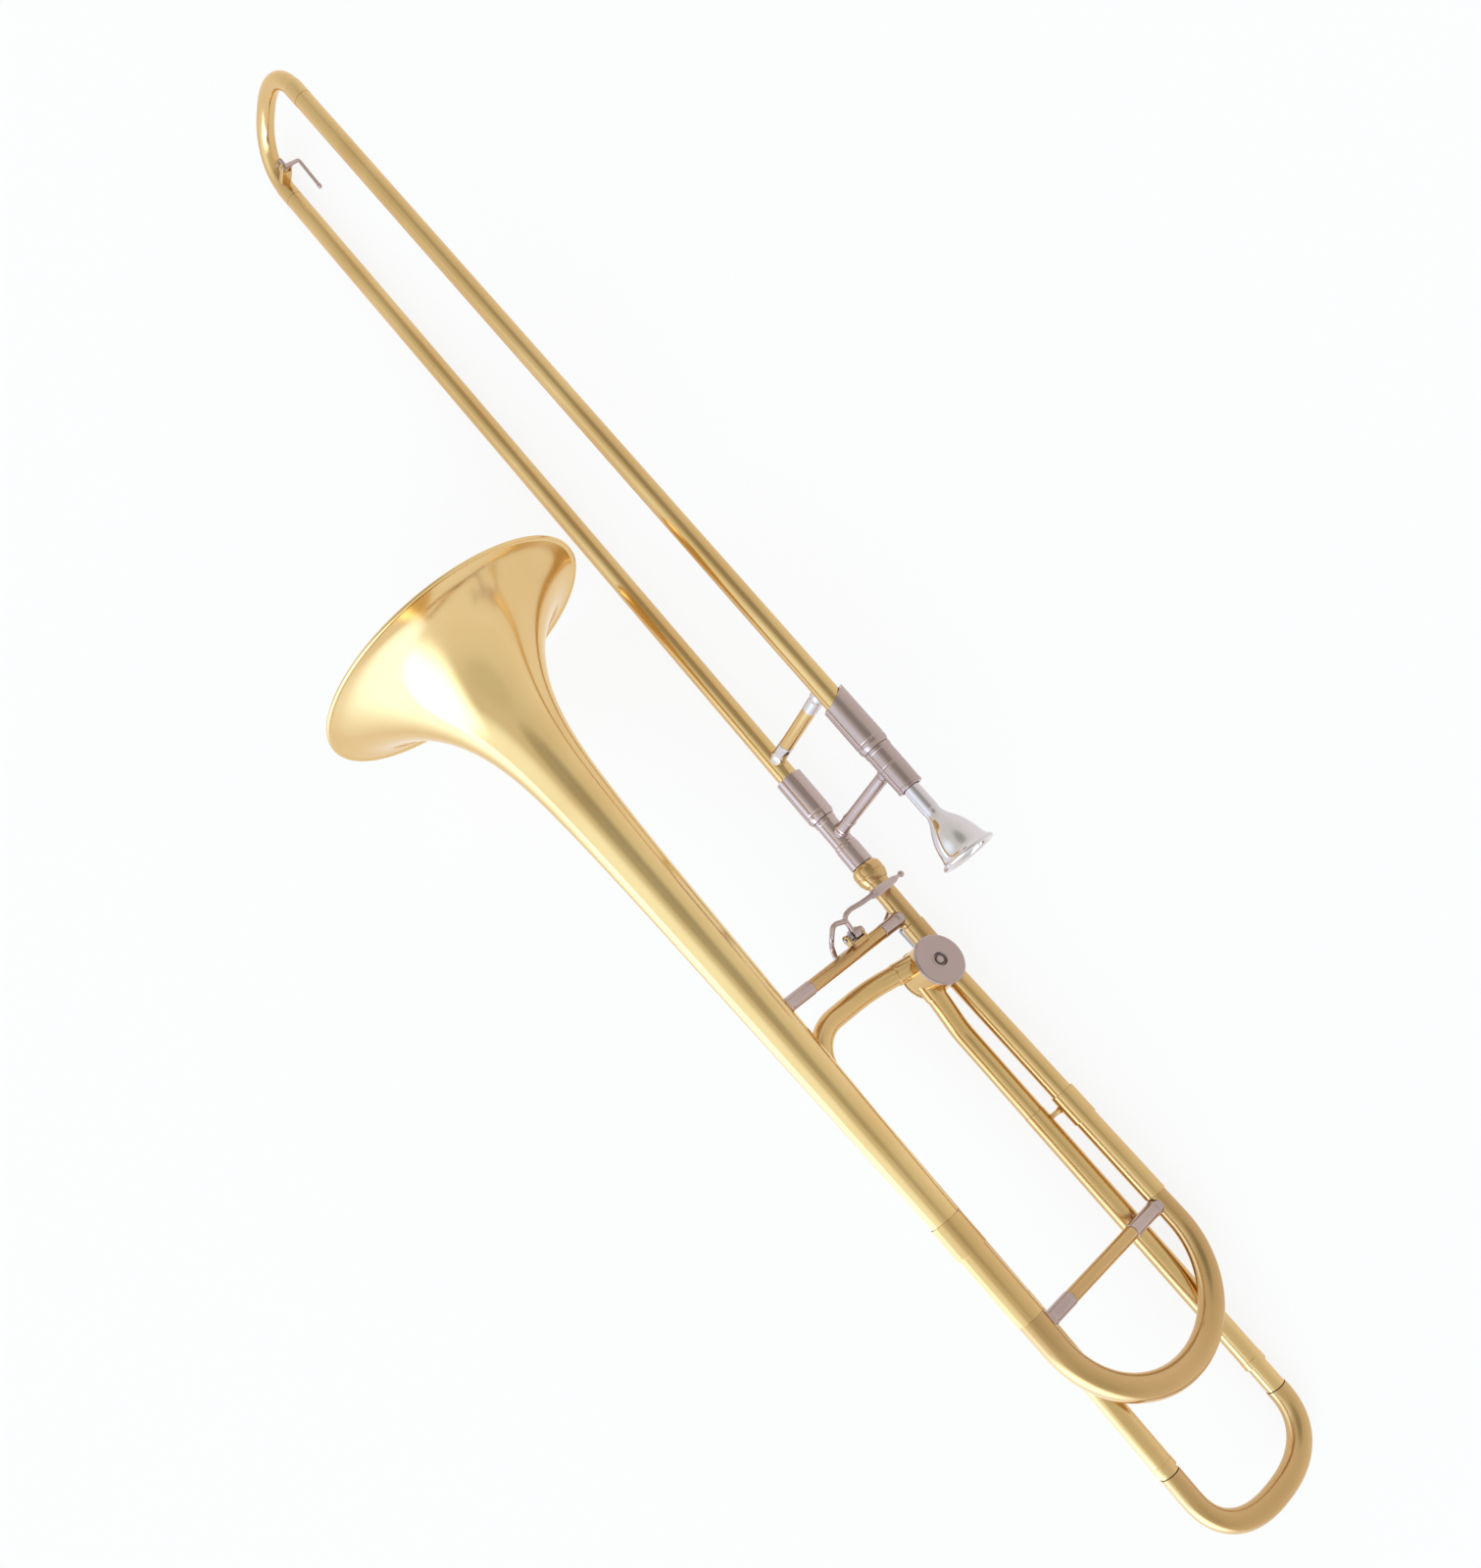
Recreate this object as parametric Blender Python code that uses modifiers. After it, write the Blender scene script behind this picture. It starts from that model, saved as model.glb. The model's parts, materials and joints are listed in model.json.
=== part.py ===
"""Tenor trombone with an F attachment: bell section, rotary valve, hand slide, two tuning slides.

The instrument frame has u forward along the neck tube, v from the neck tube towards the bell axis,
and w up towards the mouthpiece side. Its origin is on the neck tube's axis beside the valve.
Constants are in millimetres and degrees, and the mesh helpers turn them into metres.
"""

import math

import bmesh
import bpy
import numpy as np
from mathutils import Euler, Matrix, Vector

MM = 0.001

# Resting attitude of the instrument frame in the row frame
REST_ROTATION_DEG = (39.635, -1.06, 0.0)
REST_SHIFT = (-243.77, -55.67, 18.16)

# Mesh fineness
TUBE_SIDES = 16
BELL_SIDES = 36
ROD_SIDES = 12
WIRE_SIDES = 8
BOW_STEPS = 14

# Clearance between pieces that touch
GAP = 0.3

# Bell
BELL_V = 130.2
BELL_RIM_U = 366.0
BELL_RIM_RADIUS = 106.6
RIM_BEAD_RADIUS = 1.4
BELL_WALL = 0.8
BELL_TAIL_U = -131.0
BELL_PROFILE = [
    (-131, 10.1), (-8, 13.3), (82, 15.9), (162, 18.2), (222, 21.1), (265.5, 25.6), (298.4, 34.1),
    (321.7, 45.8), (338.8, 59.6), (350.2, 73.3), (358.6, 86.7), (363.0, 96.5), (365.2, 105.0),
]
BELL_SPAN_STEPS = 2

# Neck tube and the fixed sleeves of the main tuning slide
NECK_TUBE_RADIUS = 7.3
NECK_SLEEVE_RADIUS = 7.7
BELL_SLEEVE_RADIUS = 10.0
TUBE_WALL = 0.6
NECK_JOIN_U = -127.0
NECK_SLEEVE_END_U = -199.2
BELL_SLEEVE_END_U = -196.5
NECK_FERRULE_U = (-138.0, -116.5)
BELL_FERRULE_U = (-147.0, -124.0)
FERRULE_WALL = 0.45

# Main tuning slide
BOW_CENTRE_U = -218.2
BOW_DEPTH_FACTOR = 0.92
BOW_RADIUS_NECK = 7.0
BOW_RADIUS_BELL = 9.4
TUNING_LEG_START_U = -141.0
TUNING_BRACE_U = -204.9

# Braces
BRACE_ROD_RADIUS = 4.8
BRACE_SLEEVE_RADIUS = 5.1
BELL_BRACE_U = 35.0

# Valve
VALVE_CENTRE = (-3.3, 8.8)
CASING_RADIUS = 17.7
CASING_BORE = 14.6
CASING_W = (-12.2, 9.6)
CAP_RADIUS = 18.2
CAP_W = (9.9, 12.5)
PLATE_W = (-13.7, -12.5)
ROTOR_RADIUS = 14.2
PORT_LEVEL = -2.0
STOP_ARM_RADIUS = 6.0
STOP_ARM_W = (-16.4, -14.1)

# F attachment
F_ORIGIN = (0.0, 16.7, -12.9)
F_TILT_DEG = (-2.43, -1.26, 0.0)
F_SPACING = 96.7
F_TUBE_RADIUS = 7.2
F_SLEEVE_RADIUS = 7.45
F_LEG_RADIUS = 6.6
F_JOIN_U = -116.0
F_BACK_JOIN_U = -188.0
F_SLEEVE_END_U = -312.0
F_BOW_START_U = -329.0
F_BOW_BASE_U = -331.5
F_BOW_CROWN_U = -366.3
BOW_SQUARENESS = 2.35

# Hand slide, in the slide frame: s runs along the lower slide tube's axis
SLIDE_ORIGIN = (-59.0, 1.0, 0.0)
SLIDE_TILT_DEG = -2.69
SLIDE_SPACING = 91.6
OUTER_RADIUS = 7.65
OUTER_BORE = 7.15
INNER_RADIUS = 6.6
STOCKING_RADIUS = 6.72
INNER_BORE = 6.1
OUTER_START_S = 211.0
OUTER_END_S = 863.0
INNER_END_S = 858.0
STOCKING_LENGTH = 110.0
OUTER_BRACE_S = 233.0
INNER_BRACE_S = 165.0
BARREL_S = (180.0, 218.0)
SCOOP_LENGTH = 11.0
UPPER_BARREL_RADIUS = 10.5
LOWER_BARREL_RADIUS = 10.1
BARREL_BORE = 8.5
RECEIVER_S = (146.2, 179.7)
RECEIVER_RADIUS = 9.1
CONNECTOR_S = (125.0, 179.7)
CONNECTOR_RADIUS = 7.8
SLIDE_BOW_CENTRE_S = 873.2
SLIDE_BOW_DEPTH = 41.0
SLIDE_BOW_RADIUS = 7.4
OUTER_BRACE_RADIUS = 5.1
INNER_BRACE_RADIUS = 4.4

# Lock nut and neck pipe
NECK_PIPE_RADIUS = 7.6
NECK_PIPE_END_S = 124.0
NUT_S = (122.8, 137.5)
NUT_RADIUS = 11.0

# Mouthpiece
MOUTHPIECE_RIM_S = 90.3
MOUTHPIECE_RIM_RADIUS = 19.3

# Thumb lever
LEVER_AXIS = (44.6, 3.4)
LEVER_BARREL_V = (37.6, 47.0)
LEVER_BARREL_RADIUS = 3.6
PADDLE_CENTRE = (56.0, 6.6, 20.0)
LEVER_FOOT = (48.8, -9.0, -12.5)
LEVER_WIRE_RADIUS = 1.5
LEVER_FOOT_WIRE_RADIUS = 1.3
LINK_W = (-17.6, -16.7)
LINK_FRONT_W = (-15.8, -14.7)

# Water key
KEY_AXIS = (879.5, 20.0)


def reset_scene():
    for obj in list(bpy.data.objects):
        bpy.data.objects.remove(obj, do_unlink=True)
    model = bpy.data.collections.new("tenor_trombone")
    cutters = bpy.data.collections.new("cutters")
    bpy.context.scene.collection.children.link(model)
    bpy.context.scene.collection.children.link(cutters)
    cutters.hide_render = True
    return model, cutters


MODEL, CUTTERS = reset_scene()


def make_material(name, colour, metallic, roughness):
    material = bpy.data.materials.new(name)
    material.use_nodes = True
    shader = material.node_tree.nodes["Principled BSDF"]
    shader.inputs["Base Color"].default_value = (*colour, 1.0)
    shader.inputs["Metallic"].default_value = metallic
    shader.inputs["Roughness"].default_value = roughness
    return material


FINISHES = {
    "lacquered_brass": ((0.78, 0.55, 0.22), 1.0, 0.22),
    "nickel_silver": ((0.62, 0.54, 0.53), 1.0, 0.3),
    "silver_plate": ((0.86, 0.84, 0.85), 1.0, 0.15),
    "steel": ((0.55, 0.55, 0.56), 1.0, 0.3),
    "cork": ((0.55, 0.38, 0.22), 0.0, 0.85),
}


def empty_frame(name, parent, place, turn_deg):
    frame = bpy.data.objects.new(name, None)
    frame.empty_display_size = 0.02
    MODEL.objects.link(frame)
    frame.parent = parent
    frame.location = Vector(place) * MM
    frame.rotation_euler = Euler([math.radians(a) for a in turn_deg], "XYZ")
    return frame


def new_object(name, points, faces, edges, finish, parent):
    """A mesh object from points in millimetres. A finish of None makes a hidden cutter."""
    mesh = bpy.data.meshes.new(name)
    mesh.from_pydata([Vector(p) * MM for p in points], edges, faces)
    mesh.update()
    obj = bpy.data.objects.new(name, mesh)
    obj.parent = parent
    if finish is None:
        CUTTERS.objects.link(obj)
        obj.hide_render = True
        obj.display_type = "WIRE"
    else:
        MODEL.objects.link(obj)
        mesh.materials.append(make_material(name, *FINISHES[finish]))
    return obj


def smooth_round(obj, angle=35.0):
    for polygon in obj.data.polygons:
        polygon.use_smooth = True
    obj.data.set_sharp_from_angle(angle=math.radians(angle))


AXIS_TURNS = {
    "x": Euler((0.0, math.radians(90.0), 0.0)),
    "y": Euler((math.radians(-90.0), 0.0, 0.0)),
    "z": Euler((0.0, 0.0, 0.0)),
}


def lathe(name, profile, finish, parent, place=(0, 0, 0), axis="x", sides=TUBE_SIDES, closed=True):
    """Turns (distance along the axis, radius) pairs, which run down the outer side and up the bore."""
    points = [(radius, 0.0, along) for along, radius in profile]
    edges = [(i, i + 1) for i in range(len(points) - 1)]
    if closed:
        edges.append((len(points) - 1, 0))
    obj = new_object(name, points, [], edges, finish, parent)
    obj.location = Vector(place) * MM
    obj.rotation_euler = AXIS_TURNS[axis]
    screw = obj.modifiers.new("turn", "SCREW")
    screw.axis = "Z"
    screw.steps = sides
    screw.render_steps = sides
    screw.use_merge_vertices = True
    screw.merge_threshold = 1e-5
    screw.use_smooth_shade = True
    return obj


def tube(name, low, high, radius, bore, finish, parent, place=(0, 0, 0), axis="x", sides=TUBE_SIDES):
    profile = [(high, radius), (low, radius), (low, bore), (high, bore)]
    return lathe(name, profile, finish, parent, place, axis, sides)


def rod(name, low, high, radius, finish, parent, place=(0, 0, 0), axis="x", sides=ROD_SIDES):
    profile = [(high, 0.0), (high, radius), (low, radius), (low, 0.0)]
    return lathe(name, profile, finish, parent, place, axis, sides, closed=False)


def path_frames(points, up):
    """A tangent and two cross directions at each point, carried along without twist."""
    frames = []
    side = Vector(up)
    for i, point in enumerate(points):
        before = points[max(i - 1, 0)]
        after = points[min(i + 1, len(points) - 1)]
        tangent = (after - before).normalized()
        side = (side - tangent * side.dot(tangent)).normalized()
        frames.append((point, side.copy(), tangent.cross(side)))
    return frames


def sweep(name, points, outer, bore, finish, parent, up=(0, 0, 1), sides=TUBE_SIDES):
    """A tube, or a rod when bore is None, along a path. Radii are numbers or one value a point."""
    path = [Vector(p) for p in points]
    count = len(path)
    outer_radii = outer if isinstance(outer, list) else [outer] * count
    bore_radii = bore if isinstance(bore, list) else [bore] * count
    frames = path_frames(path, up)
    vertices = []
    for radii in ([outer_radii] if bore is None else [outer_radii, bore_radii]):
        for (centre, a, b), radius in zip(frames, radii):
            for k in range(sides):
                angle = 2 * math.pi * k / sides
                vertices.append(centre + radius * (math.cos(angle) * a + math.sin(angle) * b))
    faces = []
    for i in range(count - 1):
        for k in range(sides):
            near = i * sides + k
            side = i * sides + (k + 1) % sides
            faces.append((near, side, side + sides, near + sides))
            if bore is not None:
                shift = count * sides
                faces.append((near + shift, near + sides + shift, side + sides + shift, side + shift))
    last = (count - 1) * sides
    if bore is None:
        faces.append(tuple(reversed(range(sides))))
        faces.append(tuple(last + k for k in range(sides)))
    else:
        shift = count * sides
        for k in range(sides):
            j = (k + 1) % sides
            faces.append((k, k + shift, j + shift, j))
            faces.append((last + k, last + j, last + j + shift, last + k + shift))
    obj = new_object(name, vertices, faces, [], finish, parent)
    smooth_round(obj)
    return obj


def box(name, low, high, finish, parent):
    x0, y0, z0 = low
    x1, y1, z1 = high
    points = [(x, y, z) for x in (x0, x1) for y in (y0, y1) for z in (z0, z1)]
    faces = [(0, 1, 3, 2), (4, 6, 7, 5), (0, 4, 5, 1), (2, 3, 7, 6), (0, 2, 6, 4), (1, 5, 7, 3)]
    return new_object(name, points, faces, [], finish, parent)


def combine(obj, others, operation):
    for other in others:
        step = obj.modifiers.new(operation.lower(), "BOOLEAN")
        step.operation = operation
        step.solver = "EXACT"
        step.object = other
    return obj


def cut(obj, *cutters):
    return combine(obj, cutters, "DIFFERENCE")


def join(obj, *others):
    return combine(obj, others, "UNION")


def rounded_path(corners, radii, steps=6):
    """A polyline whose inner corners become arcs of the given radii."""
    points = [Vector(p) for p in corners]
    path = [points[0]]
    for i in range(1, len(points) - 1):
        back = (points[i - 1] - points[i]).normalized()
        ahead = (points[i + 1] - points[i]).normalized()
        half = back.angle(ahead) / 2
        reach = radii[i - 1] / math.tan(half)
        centre = points[i] + (back + ahead).normalized() * radii[i - 1] / math.sin(half)
        first = points[i] + back * reach - centre
        last = points[i] + ahead * reach - centre
        axis = first.cross(last).normalized()
        turn = math.pi - 2 * half
        for k in range(steps + 1):
            path.append(centre + Matrix.Rotation(turn * k / steps, 3, axis) @ first)
    path.append(points[-1])
    return path


def bow_points(base, crown, spacing, steps, squareness=2.0, up_z=False):
    """A bow from across = 0 to across = spacing: half an ellipse, or squarer with a higher squareness."""
    points = []
    for k in range(steps + 1):
        angle = math.pi * k / steps
        across = math.copysign(abs(math.cos(angle)) ** (2 / squareness), math.cos(angle))
        x = base + (crown - base) * max(math.sin(angle), 0.0) ** (2 / squareness)
        y = spacing * (1 - across) / 2
        points.append(Vector((x, 0.0, y) if up_z else (x, y, 0.0)))
    return points


def blend(first, last, count):
    return [first + (last - first) * i / (count - 1) for i in range(count)]


def smooth_line(knots, steps):
    """A natural cubic spline through the knots, with so many steps between two of them."""
    points = np.array(knots, dtype=float)
    lengths = np.linalg.norm(np.diff(points, axis=0), axis=1)
    last = len(points) - 1
    system = np.eye(last + 1)
    right = np.zeros_like(points)
    for i in range(1, last):
        system[i, i - 1:i + 2] = lengths[i - 1], 2 * (lengths[i - 1] + lengths[i]), lengths[i]
        slopes = (points[i + 1] - points[i]) / lengths[i] - (points[i] - points[i - 1]) / lengths[i - 1]
        right[i] = 6 * slopes
    bends = np.linalg.solve(system, right)
    line = []
    for i, length in enumerate(lengths):
        for k in range(steps):
            after = length * k / steps
            before = length - after
            curve = (bends[i] * before ** 3 + bends[i + 1] * after ** 3) / (6 * length)
            chord = (points[i] / length - bends[i] * length / 6) * before
            chord += (points[i + 1] / length - bends[i + 1] * length / 6) * after
            line.append(curve + chord)
    return line + [points[last]]


ROOT = empty_frame("trombone_frame", None, REST_SHIFT, REST_ROTATION_DEG)
SLIDE = empty_frame("slide_frame", ROOT, SLIDE_ORIGIN, (0, 0, SLIDE_TILT_DEG))
F_FRAME = empty_frame("f_frame", ROOT, F_ORIGIN, F_TILT_DEG)
UPPER = (0.0, 0.0, SLIDE_SPACING)


# Bell
def bell_profile():
    """The outer side from the rim down to the tail, then the inner side back up."""
    outer = [Vector(p) for p in smooth_line(BELL_PROFILE, BELL_SPAN_STEPS)]
    inner = []
    for i, point in enumerate(outer):
        before = outer[max(i - 1, 0)]
        after = outer[min(i + 1, len(outer) - 1)]
        along = (after - before).normalized()
        inner.append(point + Vector((along.y, -along.x)) * BELL_WALL)
    bead = []
    for k in range(7):
        angle = math.radians(200.0 - 48.0 * k)
        bead.append(
            Vector((
                BELL_RIM_U + RIM_BEAD_RADIUS * math.cos(angle),
                BELL_RIM_RADIUS + RIM_BEAD_RADIUS * math.sin(angle),
            ))
        )
    outline = list(reversed(outer)) + list(inner) + list(reversed(bead))
    return [tuple(p) for p in outline]


lathe("bell", bell_profile(), "lacquered_brass", ROOT, (0, BELL_V, 0), sides=BELL_SIDES)

tube(
    "bell_ferrule", *BELL_FERRULE_U, 10.55 + GAP + FERRULE_WALL, 10.55 + GAP,
    "lacquered_brass", ROOT, (0, BELL_V, 0),
)
tube(
    "bell_side_sleeve", BELL_SLEEVE_END_U, BELL_TAIL_U - GAP, BELL_SLEEVE_RADIUS,
    BELL_SLEEVE_RADIUS - TUBE_WALL, "lacquered_brass", ROOT, (0, BELL_V, 0),
)

# Valve: casing, caps, rotor and stop arm
VALVE = empty_frame("valve_frame", ROOT, (*VALVE_CENTRE, 0.0), (0, 0, 0))


def pipe_line(s):
    """A point of the slide axis in the valve frame."""
    tilt = math.radians(SLIDE_TILT_DEG)
    u = SLIDE_ORIGIN[0] + s * math.cos(tilt)
    v = SLIDE_ORIGIN[1] + s * math.sin(tilt)
    return in_valve((u, v, 0.0))


def in_valve(point):
    return (point[0] - VALVE_CENTRE[0], point[1] - VALVE_CENTRE[1], point[2])


def f_line(x, y):
    """A point of the F slide's plane in the valve frame."""
    turn = Euler([math.radians(a) for a in F_TILT_DEG], "XYZ").to_matrix()
    return in_valve(Vector(F_ORIGIN) + turn @ Vector((x, y, 0.0)))


NECK_PORT = [in_valve((-10, 0, 0)), in_valve((-26, 0, 0))]
F_OUT_PATH = rounded_path(
    [in_valve((-6, 17.6, -5.2)), in_valve((-21, 18.4, -6.2)), f_line(-46, 0), f_line(F_JOIN_U, 0)],
    [40.0, 40.0],
    steps=4,
)
F_BACK_PATH = rounded_path(
    [
        in_valve((5.0, 17.0, -1.8)), in_valve((11.4, 52.0, -12.5)), f_line(11.2, F_SPACING),
        f_line(F_BACK_JOIN_U, F_SPACING),
    ],
    [90.0, 29.0],
    steps=7,
)

casing = tube(
    "valve_casing", *CASING_W, CASING_RADIUS, CASING_BORE, "lacquered_brass", VALVE, axis="z", sides=28,
)
port_cutters = [
    sweep("cut_port_slide", [pipe_line(66), pipe_line(86)], NECK_PIPE_RADIUS + GAP, None, None, VALVE),
    sweep("cut_port_neck", NECK_PORT, NECK_TUBE_RADIUS + GAP, None, None, VALVE),
    sweep("cut_port_f_out", F_OUT_PATH, F_TUBE_RADIUS + GAP, None, None, VALVE),
    sweep("cut_port_f_back", F_BACK_PATH, F_TUBE_RADIUS + GAP, None, None, VALVE),
]
cut(casing, *port_cutters)

cap = lathe(
    "valve_cap",
    [
        (CAP_W[1] - 0.5, 0.0), (CAP_W[1] - 0.5, 2.6), (CAP_W[1] + 0.5, 2.9), (CAP_W[1] + 0.5, 4.1),
        (CAP_W[1], 4.3), (CAP_W[1], CAP_RADIUS - 0.5), (CAP_W[1] - 0.5, CAP_RADIUS),
        (CAP_W[0], CAP_RADIUS), (CAP_W[0], 0.0),
    ],
    "nickel_silver", VALVE, axis="z", sides=32, closed=False,
)
back_plate = tube(
    "valve_back_plate", *PLATE_W, CASING_RADIUS + 0.4, 4.2, "lacquered_brass", VALVE, axis="z", sides=28,
)
cut(back_plate, port_cutters[2])


def passage(sign):
    """The rotor's curved passage on one side of its axis."""
    half = [(16.5, 12.5), (10.0, 9.4), (4.5, 7.4)]
    path = [(x, sign * y, PORT_LEVEL) for x, y in half]
    return path + [(-x, y, z) for x, y, z in reversed(path)]


rotor = lathe(
    "rotor",
    [
        (CASING_W[1] - 0.4, 0.0), (CASING_W[1] - 0.4, ROTOR_RADIUS), (CASING_W[0] + 0.4, ROTOR_RADIUS),
        (CASING_W[0] + 0.4, 3.9), (STOP_ARM_W[1] + GAP, 3.9), (STOP_ARM_W[1] + GAP, 1.8),
        (STOP_ARM_W[0], 1.8), (STOP_ARM_W[0], 0.0),
    ],
    "lacquered_brass", VALVE, axis="z", sides=28, closed=False,
)
cut(
    rotor,
    sweep("cut_passage_main", passage(-1), 5.4, None, None, VALVE, sides=12),
    sweep("cut_passage_f", passage(1), 5.4, None, None, VALVE, sides=12),
)

STOP_ANGLE = math.radians(-45.0)
STOP_PIN = (STOP_ARM_RADIUS * math.cos(STOP_ANGLE), STOP_ARM_RADIUS * math.sin(STOP_ANGLE))
stop_arm = tube("stop_arm", *STOP_ARM_W, 4.6, 2.1, "nickel_silver", VALVE, axis="z", sides=20)
arm_bar = box(
    "join_stop_bar", (3.2, -1.7, STOP_ARM_W[0] + 1.0), (STOP_ARM_RADIUS + 1.7, 1.7, STOP_ARM_W[1]),
    None, VALVE,
)
arm_bar.rotation_euler = (0, 0, STOP_ANGLE)
arm_pin = rod("join_stop_pin", LINK_W[0] + 0.2, -15.0, 1.0, None, VALVE, (*STOP_PIN, 0), "z")
join(stop_arm, arm_bar, arm_pin)

# Tubes at the valve, trimmed clear of the rotor
valve_trim = rod("cut_valve_trim", -30, 30, CASING_BORE + 0.4, None, VALVE, axis="z", sides=28)
neck_tube = tube(
    "neck_tube", NECK_JOIN_U, -10.0, NECK_TUBE_RADIUS, NECK_TUBE_RADIUS - TUBE_WALL, "lacquered_brass", ROOT,
)
cut(neck_tube, valve_trim)
tube(
    "neck_ferrule", *NECK_FERRULE_U, NECK_SLEEVE_RADIUS + GAP + FERRULE_WALL, NECK_SLEEVE_RADIUS + GAP,
    "lacquered_brass", ROOT,
)
tube(
    "neck_side_sleeve", NECK_SLEEVE_END_U, NECK_JOIN_U - GAP, NECK_SLEEVE_RADIUS,
    NECK_SLEEVE_RADIUS - TUBE_WALL + 0.05, "lacquered_brass", ROOT,
)

neck_pipe = lathe(
    "neck_pipe",
    [
        (NECK_PIPE_END_S, 8.2), (NECK_PIPE_END_S - 9.0, 8.2), (NECK_PIPE_END_S - 9.6, NECK_PIPE_RADIUS),
        (66.0, NECK_PIPE_RADIUS), (66.0, NECK_PIPE_RADIUS - TUBE_WALL),
        (NECK_PIPE_END_S, NECK_PIPE_RADIUS - TUBE_WALL),
    ],
    "lacquered_brass", SLIDE,
)
cut(neck_pipe, valve_trim)

f_out = sweep("f_leg_tube", F_OUT_PATH, F_TUBE_RADIUS, F_TUBE_RADIUS - TUBE_WALL, "lacquered_brass", VALVE)
cut(f_out, valve_trim)

f_back = sweep(
    "f_return_tube", F_BACK_PATH, F_TUBE_RADIUS, F_TUBE_RADIUS - TUBE_WALL, "lacquered_brass", VALVE,
)
cut(f_back, valve_trim)

# Fixed sleeves of the F slide, and the stay that ties the first to the neck tube
for f_name, f_y, f_start in (("f_leg_sleeve", 0.0, F_JOIN_U), ("f_return_sleeve", F_SPACING, F_BACK_JOIN_U)):
    tube(
        f_name, F_SLEEVE_END_U, f_start - 0.5, F_SLEEVE_RADIUS, F_LEG_RADIUS + GAP, "lacquered_brass",
        F_FRAME, (0, f_y, 0),
    )
neck_clear = rod(
    "cut_neck_clear", -400, 0, NECK_SLEEVE_RADIUS + 2 * GAP + FERRULE_WALL, None, ROOT, sides=TUBE_SIDES,
)
f_clear = rod("cut_f_clear", -400, 0, F_SLEEVE_RADIUS + GAP, None, F_FRAME, sides=TUBE_SIDES)
stay = sweep(
    "f_stay", [(-124.5, 3.0, -3.0), (-124.5, 14.0, -13.5)], 1.9, None, "lacquered_brass", ROOT, up=(1, 0, 0),
    sides=ROD_SIDES,
)
cut(stay, neck_clear, f_clear)

# F tuning slide
f_bow_path = [Vector((F_BOW_START_U, 0, 0))]
f_bow_path += bow_points(F_BOW_BASE_U, F_BOW_CROWN_U, F_SPACING, BOW_STEPS, BOW_SQUARENESS)
f_bow_path += [Vector((F_BOW_START_U + 14.0, F_SPACING, 0))]
sweep("f_bow", f_bow_path, F_TUBE_RADIUS, F_TUBE_RADIUS - TUBE_WALL, "lacquered_brass", F_FRAME)
tube(
    "f_inner_leg_a", F_BOW_START_U + GAP, F_JOIN_U - 12.0, F_LEG_RADIUS, F_LEG_RADIUS - TUBE_WALL,
    "nickel_silver", F_FRAME,
)
tube(
    "f_inner_leg_b", F_BOW_START_U + 14.0 + GAP, F_BACK_JOIN_U - 12.0, F_LEG_RADIUS, F_LEG_RADIUS - TUBE_WALL,
    "nickel_silver", F_FRAME, (0, F_SPACING, 0),
)

# Main tuning slide
bow_path = [Vector((NECK_SLEEVE_END_U - 0.6, 0, 0))]
bow_path += bow_points(BOW_CENTRE_U, BOW_CENTRE_U - BOW_DEPTH_FACTOR * BELL_V / 2, BELL_V, BOW_STEPS)
bow_path += [Vector((BELL_SLEEVE_END_U - 0.6, BELL_V, 0))]
bow_outer = blend(BOW_RADIUS_NECK, BOW_RADIUS_BELL, len(bow_path))
sweep("tuning_bow", bow_path, bow_outer, [r - TUBE_WALL for r in bow_outer], "lacquered_brass", ROOT)
tube("tuning_leg_neck", NECK_SLEEVE_END_U - 0.3, TUNING_LEG_START_U, 6.8, 6.2, "nickel_silver", ROOT)
tube(
    "tuning_leg_bell", BELL_SLEEVE_END_U - 0.3, TUNING_LEG_START_U - 4.0, 9.05, 8.45, "nickel_silver", ROOT,
    (0, BELL_V, 0),
)


def brace(prefix, place, axis, low, high, neck_length, bell_length, trims, parent, radii, finishes):
    """A brace: a sleeve at each end, trimmed to the tube it meets, and the rod between them."""
    rod_radius, sleeve_radius, foot_radius = radii
    lower = lathe(
        prefix + "_end_a",
        [
            (low + neck_length, 0.0), (low + neck_length, sleeve_radius), (low + 4.0, sleeve_radius),
            (low + 2.0, foot_radius), (low - 6.0, foot_radius), (low - 6.0, 0.0),
        ],
        finishes[0], parent, place, axis, sides=16, closed=False,
    )
    upper = lathe(
        prefix + "_end_b",
        [
            (high + 6.0, 0.0), (high + 6.0, foot_radius), (high - 2.0, foot_radius),
            (high - 4.0, sleeve_radius),
            (high - bell_length, sleeve_radius), (high - bell_length, 0.0),
        ],
        finishes[2], parent, place, axis, sides=16, closed=False,
    )
    rod(
        prefix + "_rod", low + neck_length + GAP, high - bell_length - GAP, rod_radius, finishes[1], parent,
        place, axis, sides=16,
    )
    cut(lower, trims[0])
    cut(upper, trims[1])


bow_neck_trim = rod("cut_bow_neck", -240, -180, BOW_RADIUS_NECK + GAP + 0.3, None, ROOT, sides=TUBE_SIDES)
bow_bell_trim = rod(
    "cut_bow_bell", -240, -180, BOW_RADIUS_BELL + GAP, None, ROOT, (0, BELL_V, 0), sides=TUBE_SIDES,
)
brace(
    "tuning_brace", (TUNING_BRACE_U, 0, 0), "y", 7.0, BELL_V - 9.0, 26.0, 22.0,
    (bow_neck_trim, bow_bell_trim), ROOT,
    (BRACE_ROD_RADIUS - 0.3, BRACE_SLEEVE_RADIUS - 0.3, BRACE_SLEEVE_RADIUS),
    ("nickel_silver", "lacquered_brass", "nickel_silver"),
)

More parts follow.
